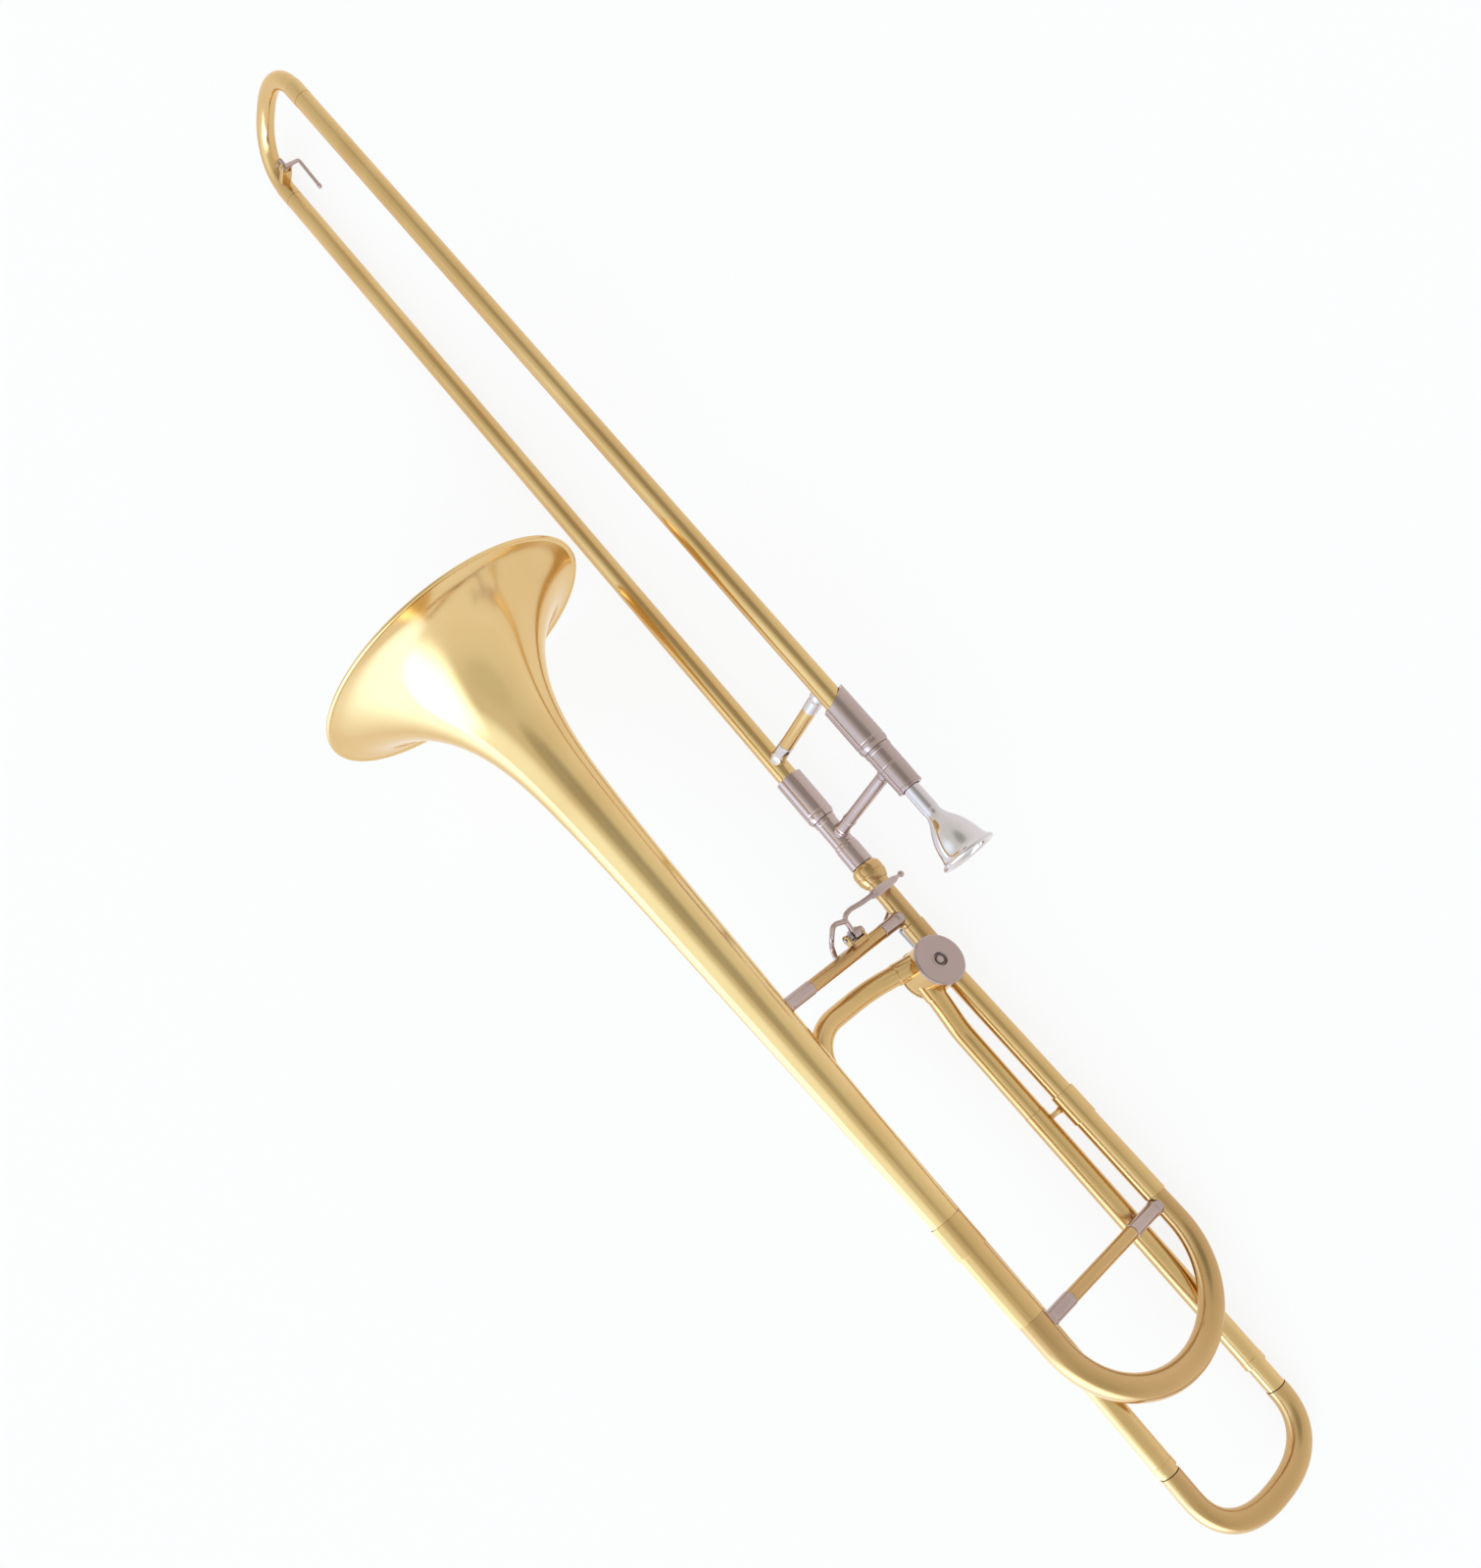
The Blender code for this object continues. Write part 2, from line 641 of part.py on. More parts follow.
pipe_trim = rod("cut_pipe", 60, 160, NECK_PIPE_RADIUS + GAP, None, SLIDE, sides=TUBE_SIDES)
bell_trim = rod("cut_bell", -20, 100, 15.0 + GAP, None, ROOT, (0, BELL_V, 0), sides=BELL_SIDES)
brace(
    "bell_brace", (BELL_BRACE_U, 0, 0), "y", 4.0, BELL_V - 14.0, 17.0, 24.0, (pipe_trim, bell_trim), ROOT,
    (BRACE_ROD_RADIUS, BRACE_SLEEVE_RADIUS, BRACE_SLEEVE_RADIUS + 0.7),
    ("nickel_silver", "lacquered_brass", "nickel_silver"),
)

# Thumb lever: barrel on its pin, paddle, arm and foot
lever_u, lever_w = LEVER_AXIS
foot_u, foot_v, foot_w = LEVER_FOOT
barrel_low, barrel_high = LEVER_BARREL_V
thumb_lever = tube(
    "thumb_lever", barrel_low, barrel_high - 3.4, LEVER_BARREL_RADIUS, 1.3 + GAP, "nickel_silver", ROOT,
    (lever_u, 0, lever_w), "y", sides=16,
)
paddle = lathe(
    "join_paddle",
    [
        (17.0, 0.0), (16.2, 1.7), (13.0, 2.0), (9.0, 2.9), (-8.0, 2.9), (-12.0, 1.9), (-22.0, 1.6),
        (-24.0, 2.3), (-25.2, 0.0),
    ],
    None, ROOT, PADDLE_CENTRE, "y", sides=10, closed=False,
)
paddle.scale = (1.0, 0.5, 1.0)
paddle_arm = sweep(
    "join_paddle_arm",
    rounded_path(
        [
            (56.2, 19.0, 20.0), (56.8, 31.0, 18.0), (58.2, 38.0, 15.0), (57.0, 45.0, 12.0), (51.0, 43.0, 8.5),
            (lever_u, 41.6, lever_w + 1.0),
        ],
        [14.0, 10.0, 5.0, 6.0],
        steps=3,
    ),
    LEVER_WIRE_RADIUS, None, None, ROOT, sides=WIRE_SIDES,
)
foot_arm = sweep(
    "join_foot_arm",
    rounded_path(
        [
            (54.5, 45.0, 11.0), (57.4, 54.0, 11.0), (50.8, 57.4, 3.0), (48.0, 53.6, -8.0),
            (39.8, 54.8, -12.5), (39.8, 5.0, -12.5), (44.5, -5.0, -12.5), (foot_u, -5.0, -12.5),
            (foot_u, foot_v - 2.6, foot_w),
        ],
        [4.0, 7.0, 5.0, 3.0, 6.0, 2.0, 1.4],
        steps=3,
    ),
    LEVER_FOOT_WIRE_RADIUS, None, None, ROOT, sides=WIRE_SIDES,
)
join(thumb_lever, paddle, paddle_arm, foot_arm)

rod("lever_pin", barrel_low - 3.6, barrel_high + 3.6, 1.3, "steel", ROOT, (lever_u, 0, lever_w), "y")

brace_clear = rod(
    "cut_brace", 20, 100, BRACE_ROD_RADIUS + GAP, None, ROOT, (BELL_BRACE_U, 0, 0), "y", sides=16,
)
pin_clear = rod("cut_pin", 20, 100, 1.3 + GAP, None, ROOT, (lever_u, 0, lever_w), "y")
saddle = box(
    "lever_saddle", (36.4, barrel_low - 2.6, 2.4), (40.4, barrel_high + 2.6, 6.6), "lacquered_brass", ROOT,
)
ears = [
    box(f"join_ear_{side}", (36.4, v - 1.0, 0.6), (lever_u + 3.4, v + 1.0, 6.6), None, ROOT)
    for side, v in (("a", barrel_low - 1.6), ("b", barrel_high + 1.6))
]
join(saddle, *ears)
cut(saddle, brace_clear, pin_clear)
cut(thumb_lever, pin_clear)


def coil(name, centre, radius, low, high, turns, wire, parent):
    """A spring about an axis parallel to y, its first end drawn out as a short leg."""
    steps = 10
    points = []
    for k in range(int(turns * steps) + 1):
        angle = 2 * math.pi * k / steps
        along = low + (high - low) * k / (turns * steps)
        points.append((centre[0] + radius * math.cos(angle), along, centre[1] + radius * math.sin(angle)))
    points.insert(0, (points[0][0], low, points[0][2] - 1.4 * radius))
    return sweep(name, points, wire, None, "steel", parent, up=(0, 1, 0), sides=6)


coil(
    "lever_spring", LEVER_AXIS, 2.5, barrel_high - 2.6, barrel_high - 0.3, 2.5, 0.4, ROOT,
)

# Link from the lever's foot to the stop arm, slotted at both ends
stop_u = VALVE_CENTRE[0] + STOP_PIN[0]
stop_v = VALVE_CENTRE[1] + STOP_PIN[1]
front_low, front_high = LINK_FRONT_W
link = box(
    "link_rod", (stop_u - 2.8, -4.8, LINK_W[0]), (stop_u + 2.8, stop_v + 2.7, LINK_W[1]), "steel", ROOT,
)
link_bar = box("join_link_bar", (stop_u + 1.0, -4.8, LINK_W[0]), (30.0, -2.8, LINK_W[1]), None, ROOT)
link_step = box("join_link_step", (28.4, -4.8, LINK_W[0]), (30.0, -2.8, front_high), None, ROOT)
link_cross = box("join_link_cross", (28.4, foot_v - 1.0, front_low), (30.4, -2.8, front_high), None, ROOT)
link_front = box(
    "join_link_front", (28.4, foot_v - 1.0, front_low), (foot_u + 3.2, foot_v + 1.0, front_high), None, ROOT,
)
link_eye = box(
    "join_link_eye", (foot_u - 3.2, foot_v - 1.0, front_low), (foot_u + 3.2, foot_v + 1.0, foot_w + 3.4),
    None, ROOT,
)
link_slot = box(
    "cut_link_slot", (stop_u - 1.7, stop_v - 3.4, -20.0), (stop_u + 1.7, stop_v + 1.6, -10.0), None, ROOT,
)
eye_slot = box(
    "cut_eye_slot", (foot_u - 1.9, foot_v - 8.0, front_high), (foot_u + 1.9, foot_v + 8.0, foot_w + 2.4),
    None, ROOT,
)
join(link, link_bar, link_step, link_cross, link_front, link_eye)
cut(link, link_slot, eye_slot)

# Lock nut between the neck pipe and the slide's connector
lathe(
    "lock_nut",
    [
        (NUT_S[1], 8.7), (NUT_S[1] - 1.6, 9.7), (NUT_S[1] - 4.0, NUT_RADIUS), (NUT_S[0] + 4.0, NUT_RADIUS),
        (NUT_S[0] + 1.2, 9.6), (NUT_S[0], 9.2), (NUT_S[0], 8.6), (NUT_S[0] + 8.0, 8.6), (NUT_S[0] + 8.0, 7.4),
        (NUT_S[1], 7.4),
    ],
    "lacquered_brass", SLIDE, sides=20,
)

# Inner slide: connector, barrels, receiver, tubes, leadpipe, corks and brace
lathe(
    "slide_connector",
    [
        (CONNECTOR_S[1], CONNECTOR_RADIUS), (157.0, CONNECTOR_RADIUS), (153.5, 8.5), (138.4, 8.6),
        (138.1, 6.8), (CONNECTOR_S[0], 6.7), (CONNECTOR_S[0], 6.0), (CONNECTOR_S[1], 6.2),
    ],
    "nickel_silver", SLIDE,
)
barrels = []
for barrel_name, barrel_place, barrel_radius, barrel_end in (
    ("cork_barrel_upper", UPPER, UPPER_BARREL_RADIUS, BARREL_S[1] + SCOOP_LENGTH),
    ("cork_barrel_lower", (0, 0, 0), LOWER_BARREL_RADIUS, BARREL_S[1]),
):
    barrel = lathe(
        barrel_name,
        [
            (barrel_end, barrel_radius), (BARREL_S[0] + 3.0, barrel_radius),
            (BARREL_S[0], barrel_radius - 1.2),
            (BARREL_S[0], INNER_RADIUS + GAP), (BARREL_S[0] + 2.0, INNER_RADIUS + GAP),
            (BARREL_S[0] + 2.0, BARREL_BORE), (barrel_end, BARREL_BORE),
        ],
        "nickel_silver", SLIDE, barrel_place,
    )
    barrels.append(barrel)
scoop = box("cut_scoop", (0.0, -40.0, -20.0), (30.0, 40.0, 20.0), None, SLIDE)
scoop.location = Vector((BARREL_S[1], UPPER_BARREL_RADIUS, SLIDE_SPACING)) * MM
scoop.rotation_euler = (0, 0, math.atan2(SCOOP_LENGTH, 2 * UPPER_BARREL_RADIUS))
cut(barrels[0], scoop)
lathe(
    "mouthpiece_receiver",
    [
        (RECEIVER_S[1], RECEIVER_RADIUS + 0.3), (RECEIVER_S[1] - 2.4, RECEIVER_RADIUS + 0.3),
        (RECEIVER_S[1] - 2.8, RECEIVER_RADIUS), (RECEIVER_S[0] + 0.6, RECEIVER_RADIUS - 0.4),
        (RECEIVER_S[0], RECEIVER_RADIUS - 0.9), (RECEIVER_S[0], 6.6), (RECEIVER_S[1], 6.0),
    ],
    "nickel_silver", SLIDE, UPPER,
)
for side, place in (("upper", UPPER), ("lower", (0, 0, 0))):
    stocking_start = INNER_END_S - STOCKING_LENGTH
    lathe(
        "inner_tube_" + side,
        [
            (INNER_END_S, STOCKING_RADIUS), (stocking_start, STOCKING_RADIUS),
            (stocking_start - 1.0, INNER_RADIUS),
            (BARREL_S[0] + GAP, INNER_RADIUS), (BARREL_S[0] + GAP, INNER_BORE), (INNER_END_S, INNER_BORE),
        ],
        "nickel_silver", SLIDE, place,
    )
    tube(
        "bumper_" + side, BARREL_S[0] + 2.4, BARREL_S[0] + 9.0, BARREL_BORE - GAP, INNER_RADIUS + GAP,
        "cork", SLIDE,
        place,
    )
    tube(
        "outer_tube_" + side, OUTER_START_S, OUTER_END_S, OUTER_RADIUS, OUTER_BORE, "lacquered_brass", SLIDE,
        place,
    )
lathe(
    "leadpipe",
    [(340.0, 5.85), (182.0, 5.85), (182.0, 5.2), (340.0, 5.4)],
    "lacquered_brass", SLIDE, UPPER,
)


def slide_brace(name, s, radius, low_gap, high_gap, finishes):
    """A brace square to the two slide tubes, its ends trimmed to them."""
    low_trim = rod("cut_low_" + name, s - 30, s + 30, low_gap, None, SLIDE, sides=TUBE_SIDES)
    high_trim = rod("cut_high_" + name, s - 30, s + 30, high_gap, None, SLIDE, UPPER, sides=TUBE_SIDES)
    if finishes[0] != finishes[1]:
        brace(
            name, (s, 0, 0), "z", low_gap, SLIDE_SPACING - high_gap, 16.0, 16.0, (low_trim, high_trim), SLIDE,
            (radius, radius + 0.3, radius + 0.9), finishes,
        )
        return
    top = SLIDE_SPACING - high_gap
    whole = lathe(
        name,
        [
            (top + 6.0, 0.0), (top + 6.0, radius + 1.2), (top - 1.5, radius + 1.0), (top - 4.0, radius + 0.1),
            (low_gap + 15.0, radius), (low_gap + 14.6, radius + 0.4), (low_gap + 13.0, radius + 0.4),
            (low_gap + 12.6, radius), (low_gap + 4.0, radius + 0.1), (low_gap + 1.5, radius + 1.2),
            (low_gap - 6.0, radius + 1.2), (low_gap - 6.0, 0.0),
        ],
        finishes[0], SLIDE, (s, 0, 0), "z", sides=16, closed=False,
    )
    cut(whole, low_trim, high_trim)


slide_brace(
    "outer_brace", OUTER_BRACE_S, OUTER_BRACE_RADIUS, OUTER_RADIUS + GAP, OUTER_RADIUS + GAP,
    ("silver_plate", "lacquered_brass", "silver_plate"),
)
slide_brace(
    "inner_brace", INNER_BRACE_S, INNER_BRACE_RADIUS, CONNECTOR_RADIUS + GAP, RECEIVER_RADIUS + GAP,
    ("nickel_silver", "nickel_silver"),
)

# Slide bow, thicker at its two ferrules
bow_start = Vector((OUTER_END_S + GAP, 0, 0))
slide_bow_path = [bow_start]
slide_bow_path += bow_points(
    SLIDE_BOW_CENTRE_S, SLIDE_BOW_CENTRE_S + SLIDE_BOW_DEPTH, SLIDE_SPACING, BOW_STEPS, BOW_SQUARENESS,
    up_z=True,
)
slide_bow_path += [bow_start + Vector(UPPER)]
slide_bow_ferrule = [SLIDE_BOW_RADIUS + 0.3] * 4
slide_bow_outer = slide_bow_ferrule + [SLIDE_BOW_RADIUS] * (BOW_STEPS - 5) + slide_bow_ferrule
sweep(
    "slide_bow", slide_bow_path, slide_bow_outer, [SLIDE_BOW_RADIUS - TUBE_WALL] * len(slide_bow_path),
    "lacquered_brass", SLIDE, up=(0, 1, 0),
)

# Water key: saddle on the bow, lever, cork and spring
key_s, key_z = KEY_AXIS
bow_clear = sweep(
    "cut_bow_clear", slide_bow_path, SLIDE_BOW_RADIUS + 0.3 + GAP, None, None, SLIDE, up=(0, 1, 0),
)
key_pin_clear = rod("cut_key_pin", -20, 20, 0.9 + GAP, None, SLIDE, (key_s, 0, key_z), "y")
key_saddle = box(
    "water_key_saddle", (key_s - 2.2, -4.6, 2.0), (key_s + 2.2, 4.6, key_z - 3.4), "nickel_silver", SLIDE,
)
key_ears = [
    box(
        f"join_key_ear_{side}", (key_s - 1.9, y - 0.6, key_z - 5.0), (key_s + 1.9, y + 0.6, key_z + 1.9),
        None, SLIDE,
    )
    for side, y in (("a", -4.0), ("b", 4.0))
]
join(key_saddle, *key_ears)
cut(key_saddle, key_pin_clear, bow_clear)
rod("water_key_pin", -5.6, 5.6, 0.9, "steel", SLIDE, (key_s, 0, key_z), "y")
key_lever = tube(
    "water_key_lever", -0.4, 3.1, 2.2, 0.9 + GAP, "nickel_silver", SLIDE, (key_s, 0, key_z), "y", sides=12,
)
key_arm = sweep(
    "join_key_arm",
    rounded_path([(key_s - 0.6, 1.2, key_z + 1.0), (863.5, 0, 38.0), (831.0, 0, 36.6)], [6.0], steps=4),
    [1.9, 1.9, 1.8, 1.6, 1.5, 1.5, 1.7], None, None, SLIDE, up=(0, 1, 0), sides=WIRE_SIDES,
)
key_nose = sweep(
    "join_key_nose",
    rounded_path(
        [(key_s + 0.8, 1.2, key_z + 0.8), (888.0, 0.6, key_z + 0.4), (891.0, 0.0, 16.2)], [2.0], steps=3,
    ),
    1.7, None, None, SLIDE, up=(0, 1, 0), sides=WIRE_SIDES,
)
join(key_lever, key_arm, key_nose)
cut(key_lever, key_pin_clear)
cork = sweep(
    "water_key_cork", [(891.2, 0, 15.7), (893.6, 0, 9.0)], 1.9, None, "cork", SLIDE,
    up=(0, 1, 0), sides=ROD_SIDES,
)
cut(cork, bow_clear)
coil("water_key_spring", KEY_AXIS, 1.6, -2.9, -2.0, 1.5, 0.3, SLIDE)

# Mouthpiece
MOUTHPIECE_PROFILE = [
    (77.0, 4.9), (75.0, 5.4), (38.0, 5.8), (35.0, 5.4), (32.5, 5.9), (29.7, 7.0), (24.7, 10.2), (19.5, 12.7),
    (13.0, 14.7), (6.0, 16.2), (3.2, 18.0), (1.6, 19.3), (0.4, 18.9), (0.0, 17.4), (0.5, 14.6),
    (3.0, 12.9), (12.0, 11.4), (20.0, 8.0), (26.0, 3.6), (77.0, 4.3),
]
lathe(
    "mouthpiece",
    [(MOUTHPIECE_RIM_S + x, r) for x, r in MOUTHPIECE_PROFILE],
    "silver_plate", SLIDE, UPPER, sides=24,
)
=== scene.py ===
# %% [markdown]
# Tenor trombone, the visible model.
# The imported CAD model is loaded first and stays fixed: it holds the sizes, the moving bodies and the
# joints. This script dresses it. Nearly every CAD node is a coarse solid for collision, so each one is
# rebuilt here as a fine mesh in the same place, and the fine mesh then stands for the node.

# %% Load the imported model
import json
import math

import bmesh
import bpy
import numpy as np
from mathutils import Euler, Matrix, Vector


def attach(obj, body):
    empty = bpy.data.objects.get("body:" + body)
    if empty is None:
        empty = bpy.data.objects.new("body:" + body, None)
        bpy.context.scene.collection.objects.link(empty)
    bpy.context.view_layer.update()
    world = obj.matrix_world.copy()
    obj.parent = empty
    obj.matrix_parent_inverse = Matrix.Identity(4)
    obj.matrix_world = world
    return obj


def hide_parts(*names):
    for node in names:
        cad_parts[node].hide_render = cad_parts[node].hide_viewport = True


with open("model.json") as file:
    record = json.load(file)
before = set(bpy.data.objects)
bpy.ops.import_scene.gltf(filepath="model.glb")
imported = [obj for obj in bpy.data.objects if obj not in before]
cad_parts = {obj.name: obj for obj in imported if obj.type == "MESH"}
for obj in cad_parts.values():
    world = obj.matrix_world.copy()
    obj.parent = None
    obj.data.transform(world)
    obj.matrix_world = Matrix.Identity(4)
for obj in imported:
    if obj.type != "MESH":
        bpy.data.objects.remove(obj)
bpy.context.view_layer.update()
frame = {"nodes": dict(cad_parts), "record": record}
RECORD = frame["record"]
BODY_OF = {node: body for body, nodes in RECORD["behaviour"]["bodies"].items() for node in nodes}
SLOT_OF = {part["node"]: part["material_slot"] for part in RECORD["subparts"]}

# %% [markdown]
# Frames. A trombone is easiest to draw lying along its own tubes, so three frames are used, all in
# millimetres. The instrument frame has u forward along the neck tube, v towards the bell and w up to the
# mouthpiece side. The slide frame and the F frame lie a few degrees off it, as the real tubes do.
# Each frame is a matrix that also turns millimetres into metres in the row frame.

# %% Frames
MM = 0.001


def turned(place, degrees):
    """A frame set at a place in the one round it, and turned so many degrees about x, y and z."""
    return Matrix.Translation(place) @ Euler([math.radians(a) for a in degrees], "XYZ").to_matrix().to_4x4()


INSTRUMENT = Matrix.Scale(MM, 4) @ turned((-243.77, -55.67, 18.16), (39.635, -1.06, 0.0))
SLIDE = INSTRUMENT @ turned((-59.0, 1.0, 0.0), (0.0, 0.0, -2.69))
F_PLANE = INSTRUMENT @ turned((0.0, 16.7, -12.9), (-2.43, -1.26, 0.0))
VALVE_PLACE = Vector((-3.3, 8.8, 0.0))
VALVE = INSTRUMENT @ Matrix.Translation(VALVE_PLACE)
BELL_V = 130.2
SLIDE_SPACING = 91.6
F_SPACING = 96.7
BELL_AXIS = INSTRUMENT @ Matrix.Translation((0.0, BELL_V, 0.0))
UPPER_SLIDE = SLIDE @ Matrix.Translation((0.0, 0.0, SLIDE_SPACING))
F_RETURN = F_PLANE @ Matrix.Translation((0.0, F_SPACING, 0.0))
print("neck axis starts at", [round(x, 4) for x in INSTRUMENT.translation])

# %% [markdown]
# Shapes. Brass tubing is drawn, spun or bent, so two mesh makers cover most of it: one turns a profile
# about an axis, and one sweeps a circle along a path. Both could be modifiers, but a metal that mirrors
# the studio needs even quads and exact radii, so they are built point by point. Each also stores how far
# round and how far along every corner is, in millimetres, which lets polishing marks follow the tube.

# %% Turning and sweeping
TUBE_SIDES = 56
FINE_SIDES = 96
WIRE_SIDES = 20
WRAP = "wrap"


def raw_piece(name, points, faces, wrap, place):
    """An object with these points and faces, and the wrap stored on its face corners."""
    mesh = bpy.data.meshes.new(name)
    mesh.from_pydata([place @ Vector(p) for p in points], [], faces)
    layer = mesh.attributes.new(WRAP, "FLOAT_VECTOR", "CORNER")
    layer.data.foreach_set("vector", np.array(wrap, dtype=np.float32).ravel())
    piece = bpy.data.objects.new(name, mesh)
    bpy.context.scene.collection.objects.link(piece)
    return piece


def ring_faces(rings, sides, around, along, closed):
    """Quads between rings of points, and the wrap of each of their corners."""
    faces = []
    wrap = []
    count = len(rings)
    for i in range(count if closed else count - 1):
        j = (i + 1) % count
        ahead = along[i + 1]
        for k in range(sides):
            n = (k + 1) % sides
            faces.append((rings[i] + k, rings[i] + n, rings[j] + n, rings[j] + k))
            near, far = around[i] * k / sides, around[i] * (k + 1) / sides
            wrap += [(near, along[i], 0), (far, along[i], 0), (far, ahead, 0), (near, ahead, 0)]
    return faces, wrap


def soft_corners(profile, size, closed, steps=3):
    """The profile with each corner sharper than about 17 degrees rounded over size millimetres."""
    points = [Vector(p) for p in profile]
    count = len(points)
    result = []
    for i, point in enumerate(points):
        if not closed and i in (0, count - 1):
            result.append(point)
            continue
        back = points[i - 1] - point
        ahead = points[(i + 1) % count] - point
        if math.pi - back.angle(ahead) < 0.3:
            result.append(point)
            continue
        reach = min(size, 0.4 * back.length, 0.4 * ahead.length)
        first = point + back.normalized() * reach
        last = point + ahead.normalized() * reach
        for k in range(steps + 1):
            t = k / steps
            result.append(first * (1 - t) ** 2 + point * 2 * t * (1 - t) + last * t ** 2)
    return result


AXES = {
    "x": lambda along, a, b: (along, a, b),
    "y": lambda along, a, b: (b, along, a),
    "z": lambda along, a, b: (a, b, along),
}


def turn(name, profile, place, axis="x", sides=TUBE_SIDES, closed=True, soft=0.3):
    """Turns (along, radius) pairs about an axis. An open profile starts and ends on the axis."""
    line = soft_corners(profile, soft, closed) if soft else [Vector(p) for p in profile]
    points = []
    rings = []
    for along, radius in line:
        rings.append(len(points))
        for k in range(sides):
            angle = 2 * math.pi * k / sides
            points.append(AXES[axis](along, radius * math.cos(angle), radius * math.sin(angle)))
    lengths = [0.0]
    for i in range(1, len(line) + 1):
        lengths.append(lengths[-1] + (line[i % len(line)] - line[i - 1]).length)
    around = [2 * math.pi * max(p[1] for p in line)] * len(line)
    faces, wrap = ring_faces(rings, sides, around, lengths, closed)
    piece = raw_piece(name, points, faces, wrap, place)
    tidy(piece)
    return piece


def tidy(piece):
    """Merges doubled points, drops flat faces and turns all faces outwards."""
    shape = bmesh.new()
    shape.from_mesh(piece.data)
    bmesh.ops.remove_doubles(shape, verts=shape.verts, dist=1e-6)
    bmesh.ops.dissolve_degenerate(shape, edges=shape.edges, dist=1e-7)
    bmesh.ops.recalc_face_normals(shape, faces=shape.faces)
    shape.to_mesh(piece.data)
    shape.free()


def path_frames(points, up):
    """A point with two cross directions at each step, carried along without twist."""
    frames = []
    side = Vector(up)
    for i, point in enumerate(points):
        ahead = points[min(i + 1, len(points) - 1)] - points[max(i - 1, 0)]
        ahead.normalize()
        side = (side - ahead * side.dot(ahead)).normalized()
        frames.append((point, side.copy(), ahead.cross(side)))
    return frames


def sweep(name, path, outer, bore, place, up=(0, 0, 1), sides=TUBE_SIDES):
    """A tube along a path, or a rod with rounded ends when bore is None. Radii are numbers or lists."""
    path = [Vector(p) for p in path]
    outers = outer if isinstance(outer, list) else [outer] * len(path)
    frames = path_frames(path, up)
    if bore is None:
        shells = [rounded_ends(frames, outers)]
    else:
        bores = bore if isinstance(bore, list) else [bore] * len(path)
        shells = [list(zip(frames, outers)), list(zip(reversed(frames), reversed(bores)))]
    points = []
    rings = []
    lengths = [0.0]
    before = None
    for shell in shells:
        for (centre, a, b), radius in shell:
            rings.append(len(points))
            for k in range(sides):
                angle = 2 * math.pi * k / sides
                points.append(centre + radius * (math.cos(angle) * a + math.sin(angle) * b))
            if before is not None:
                lengths.append(lengths[-1] + max((centre - before).length, 0.01))
            before = centre
    lengths.append(lengths[-1] + 0.5)
    around = [2 * math.pi * outers[0]] * len(rings)
    faces, wrap = ring_faces(rings, sides, around, lengths, bore is not None)
    piece = raw_piece(name, points, faces, wrap, place)
    tidy(piece)
    return piece


def rounded_ends(frames, radii):
    """Rings of a rod whose two ends are domes, drawn in towards the axis."""
    dome = [(0.0, 0.02), (0.15, 0.55), (0.5, 0.87), (1.0, 1.0)]
    rings = []
    (first, a, b), radius = frames[0], radii[0]
    ahead = (frames[1][0] - first).normalized()
    for along, width in dome:
        rings.append(((first + ahead * radius * (along - 1.0) * 0.6, a, b), radius * width))
    rings += list(zip(frames, radii))[1:-1]
    (last, a, b), radius = frames[-1], radii[-1]
    ahead = (last - frames[-2][0]).normalized()
    for along, width in reversed(dome):
        rings.append(((last + ahead * radius * (1.0 - along) * 0.6, a, b), radius * width))
    return rings


print("mesh makers ready")

# %% [markdown]
# Curves. The bell's flare is a natural cubic spline through a few measured radii, because a spline with
# no jumps in its bend gives reflections with no kinks. Bows are half ellipses, or squarer ones, and wires
# are straight runs joined by arcs.

# %% Smooth lines, bows and bent wires


def smooth_line(knots, steps):
    """A natural cubic spline through the knots, with so many steps between two of them."""
    points = np.array([tuple(p) for p in knots], dtype=float)
    lengths = np.linalg.norm(np.diff(points, axis=0), axis=1)
    last = len(points) - 1
    system = np.eye(last + 1)
    right = np.zeros_like(points)
    for i in range(1, last):
        system[i, i - 1:i + 2] = lengths[i - 1], 2 * (lengths[i - 1] + lengths[i]), lengths[i]
        slopes = (points[i + 1] - points[i]) / lengths[i] - (points[i] - points[i - 1]) / lengths[i - 1]
        right[i] = 6 * slopes
    bends = np.linalg.solve(system, right)
    line = []
    for i, length in enumerate(lengths):
        for k in range(steps):
            after = length * k / steps
            before = length - after
            curve = (bends[i] * before ** 3 + bends[i + 1] * after ** 3) / (6 * length)
            chord = (points[i] / length - bends[i] * length / 6) * before
            chord += (points[i + 1] / length - bends[i + 1] * length / 6) * after
            line.append(Vector(curve + chord))
    return line + [Vector(points[last])]


def bow_points(base, crown, spacing, steps, squareness=2.0, up_z=False):
    """A bow from across = 0 to across = spacing: half an ellipse, or squarer with a higher squareness."""
    points = []
    for k in range(steps + 1):
        angle = math.pi * k / steps
        across = math.copysign(abs(math.cos(angle)) ** (2 / squareness), math.cos(angle))
        x = base + (crown - base) * max(math.sin(angle), 0.0) ** (2 / squareness)
        y = spacing * (1 - across) / 2
        points.append(Vector((x, 0.0, y) if up_z else (x, y, 0.0)))
    return points


def even_steps(points, step):
    """The same line with points a fixed step apart, as near as whole steps allow."""
    line = np.array([tuple(p) for p in points])
    lengths = np.concatenate([[0], np.cumsum(np.linalg.norm(np.diff(line, axis=0), axis=1))])
    places = np.linspace(0, lengths[-1], max(int(lengths[-1] / step), 2) + 1)
    return [Vector([np.interp(s, lengths, line[:, axis]) for axis in range(3)]) for s in places]


def bow_path(first, bow, last, step):
    """Straight to a bow, round it and straight out again, in even steps."""
    return even_steps([Vector(first)] + bow + [Vector(last)], step)


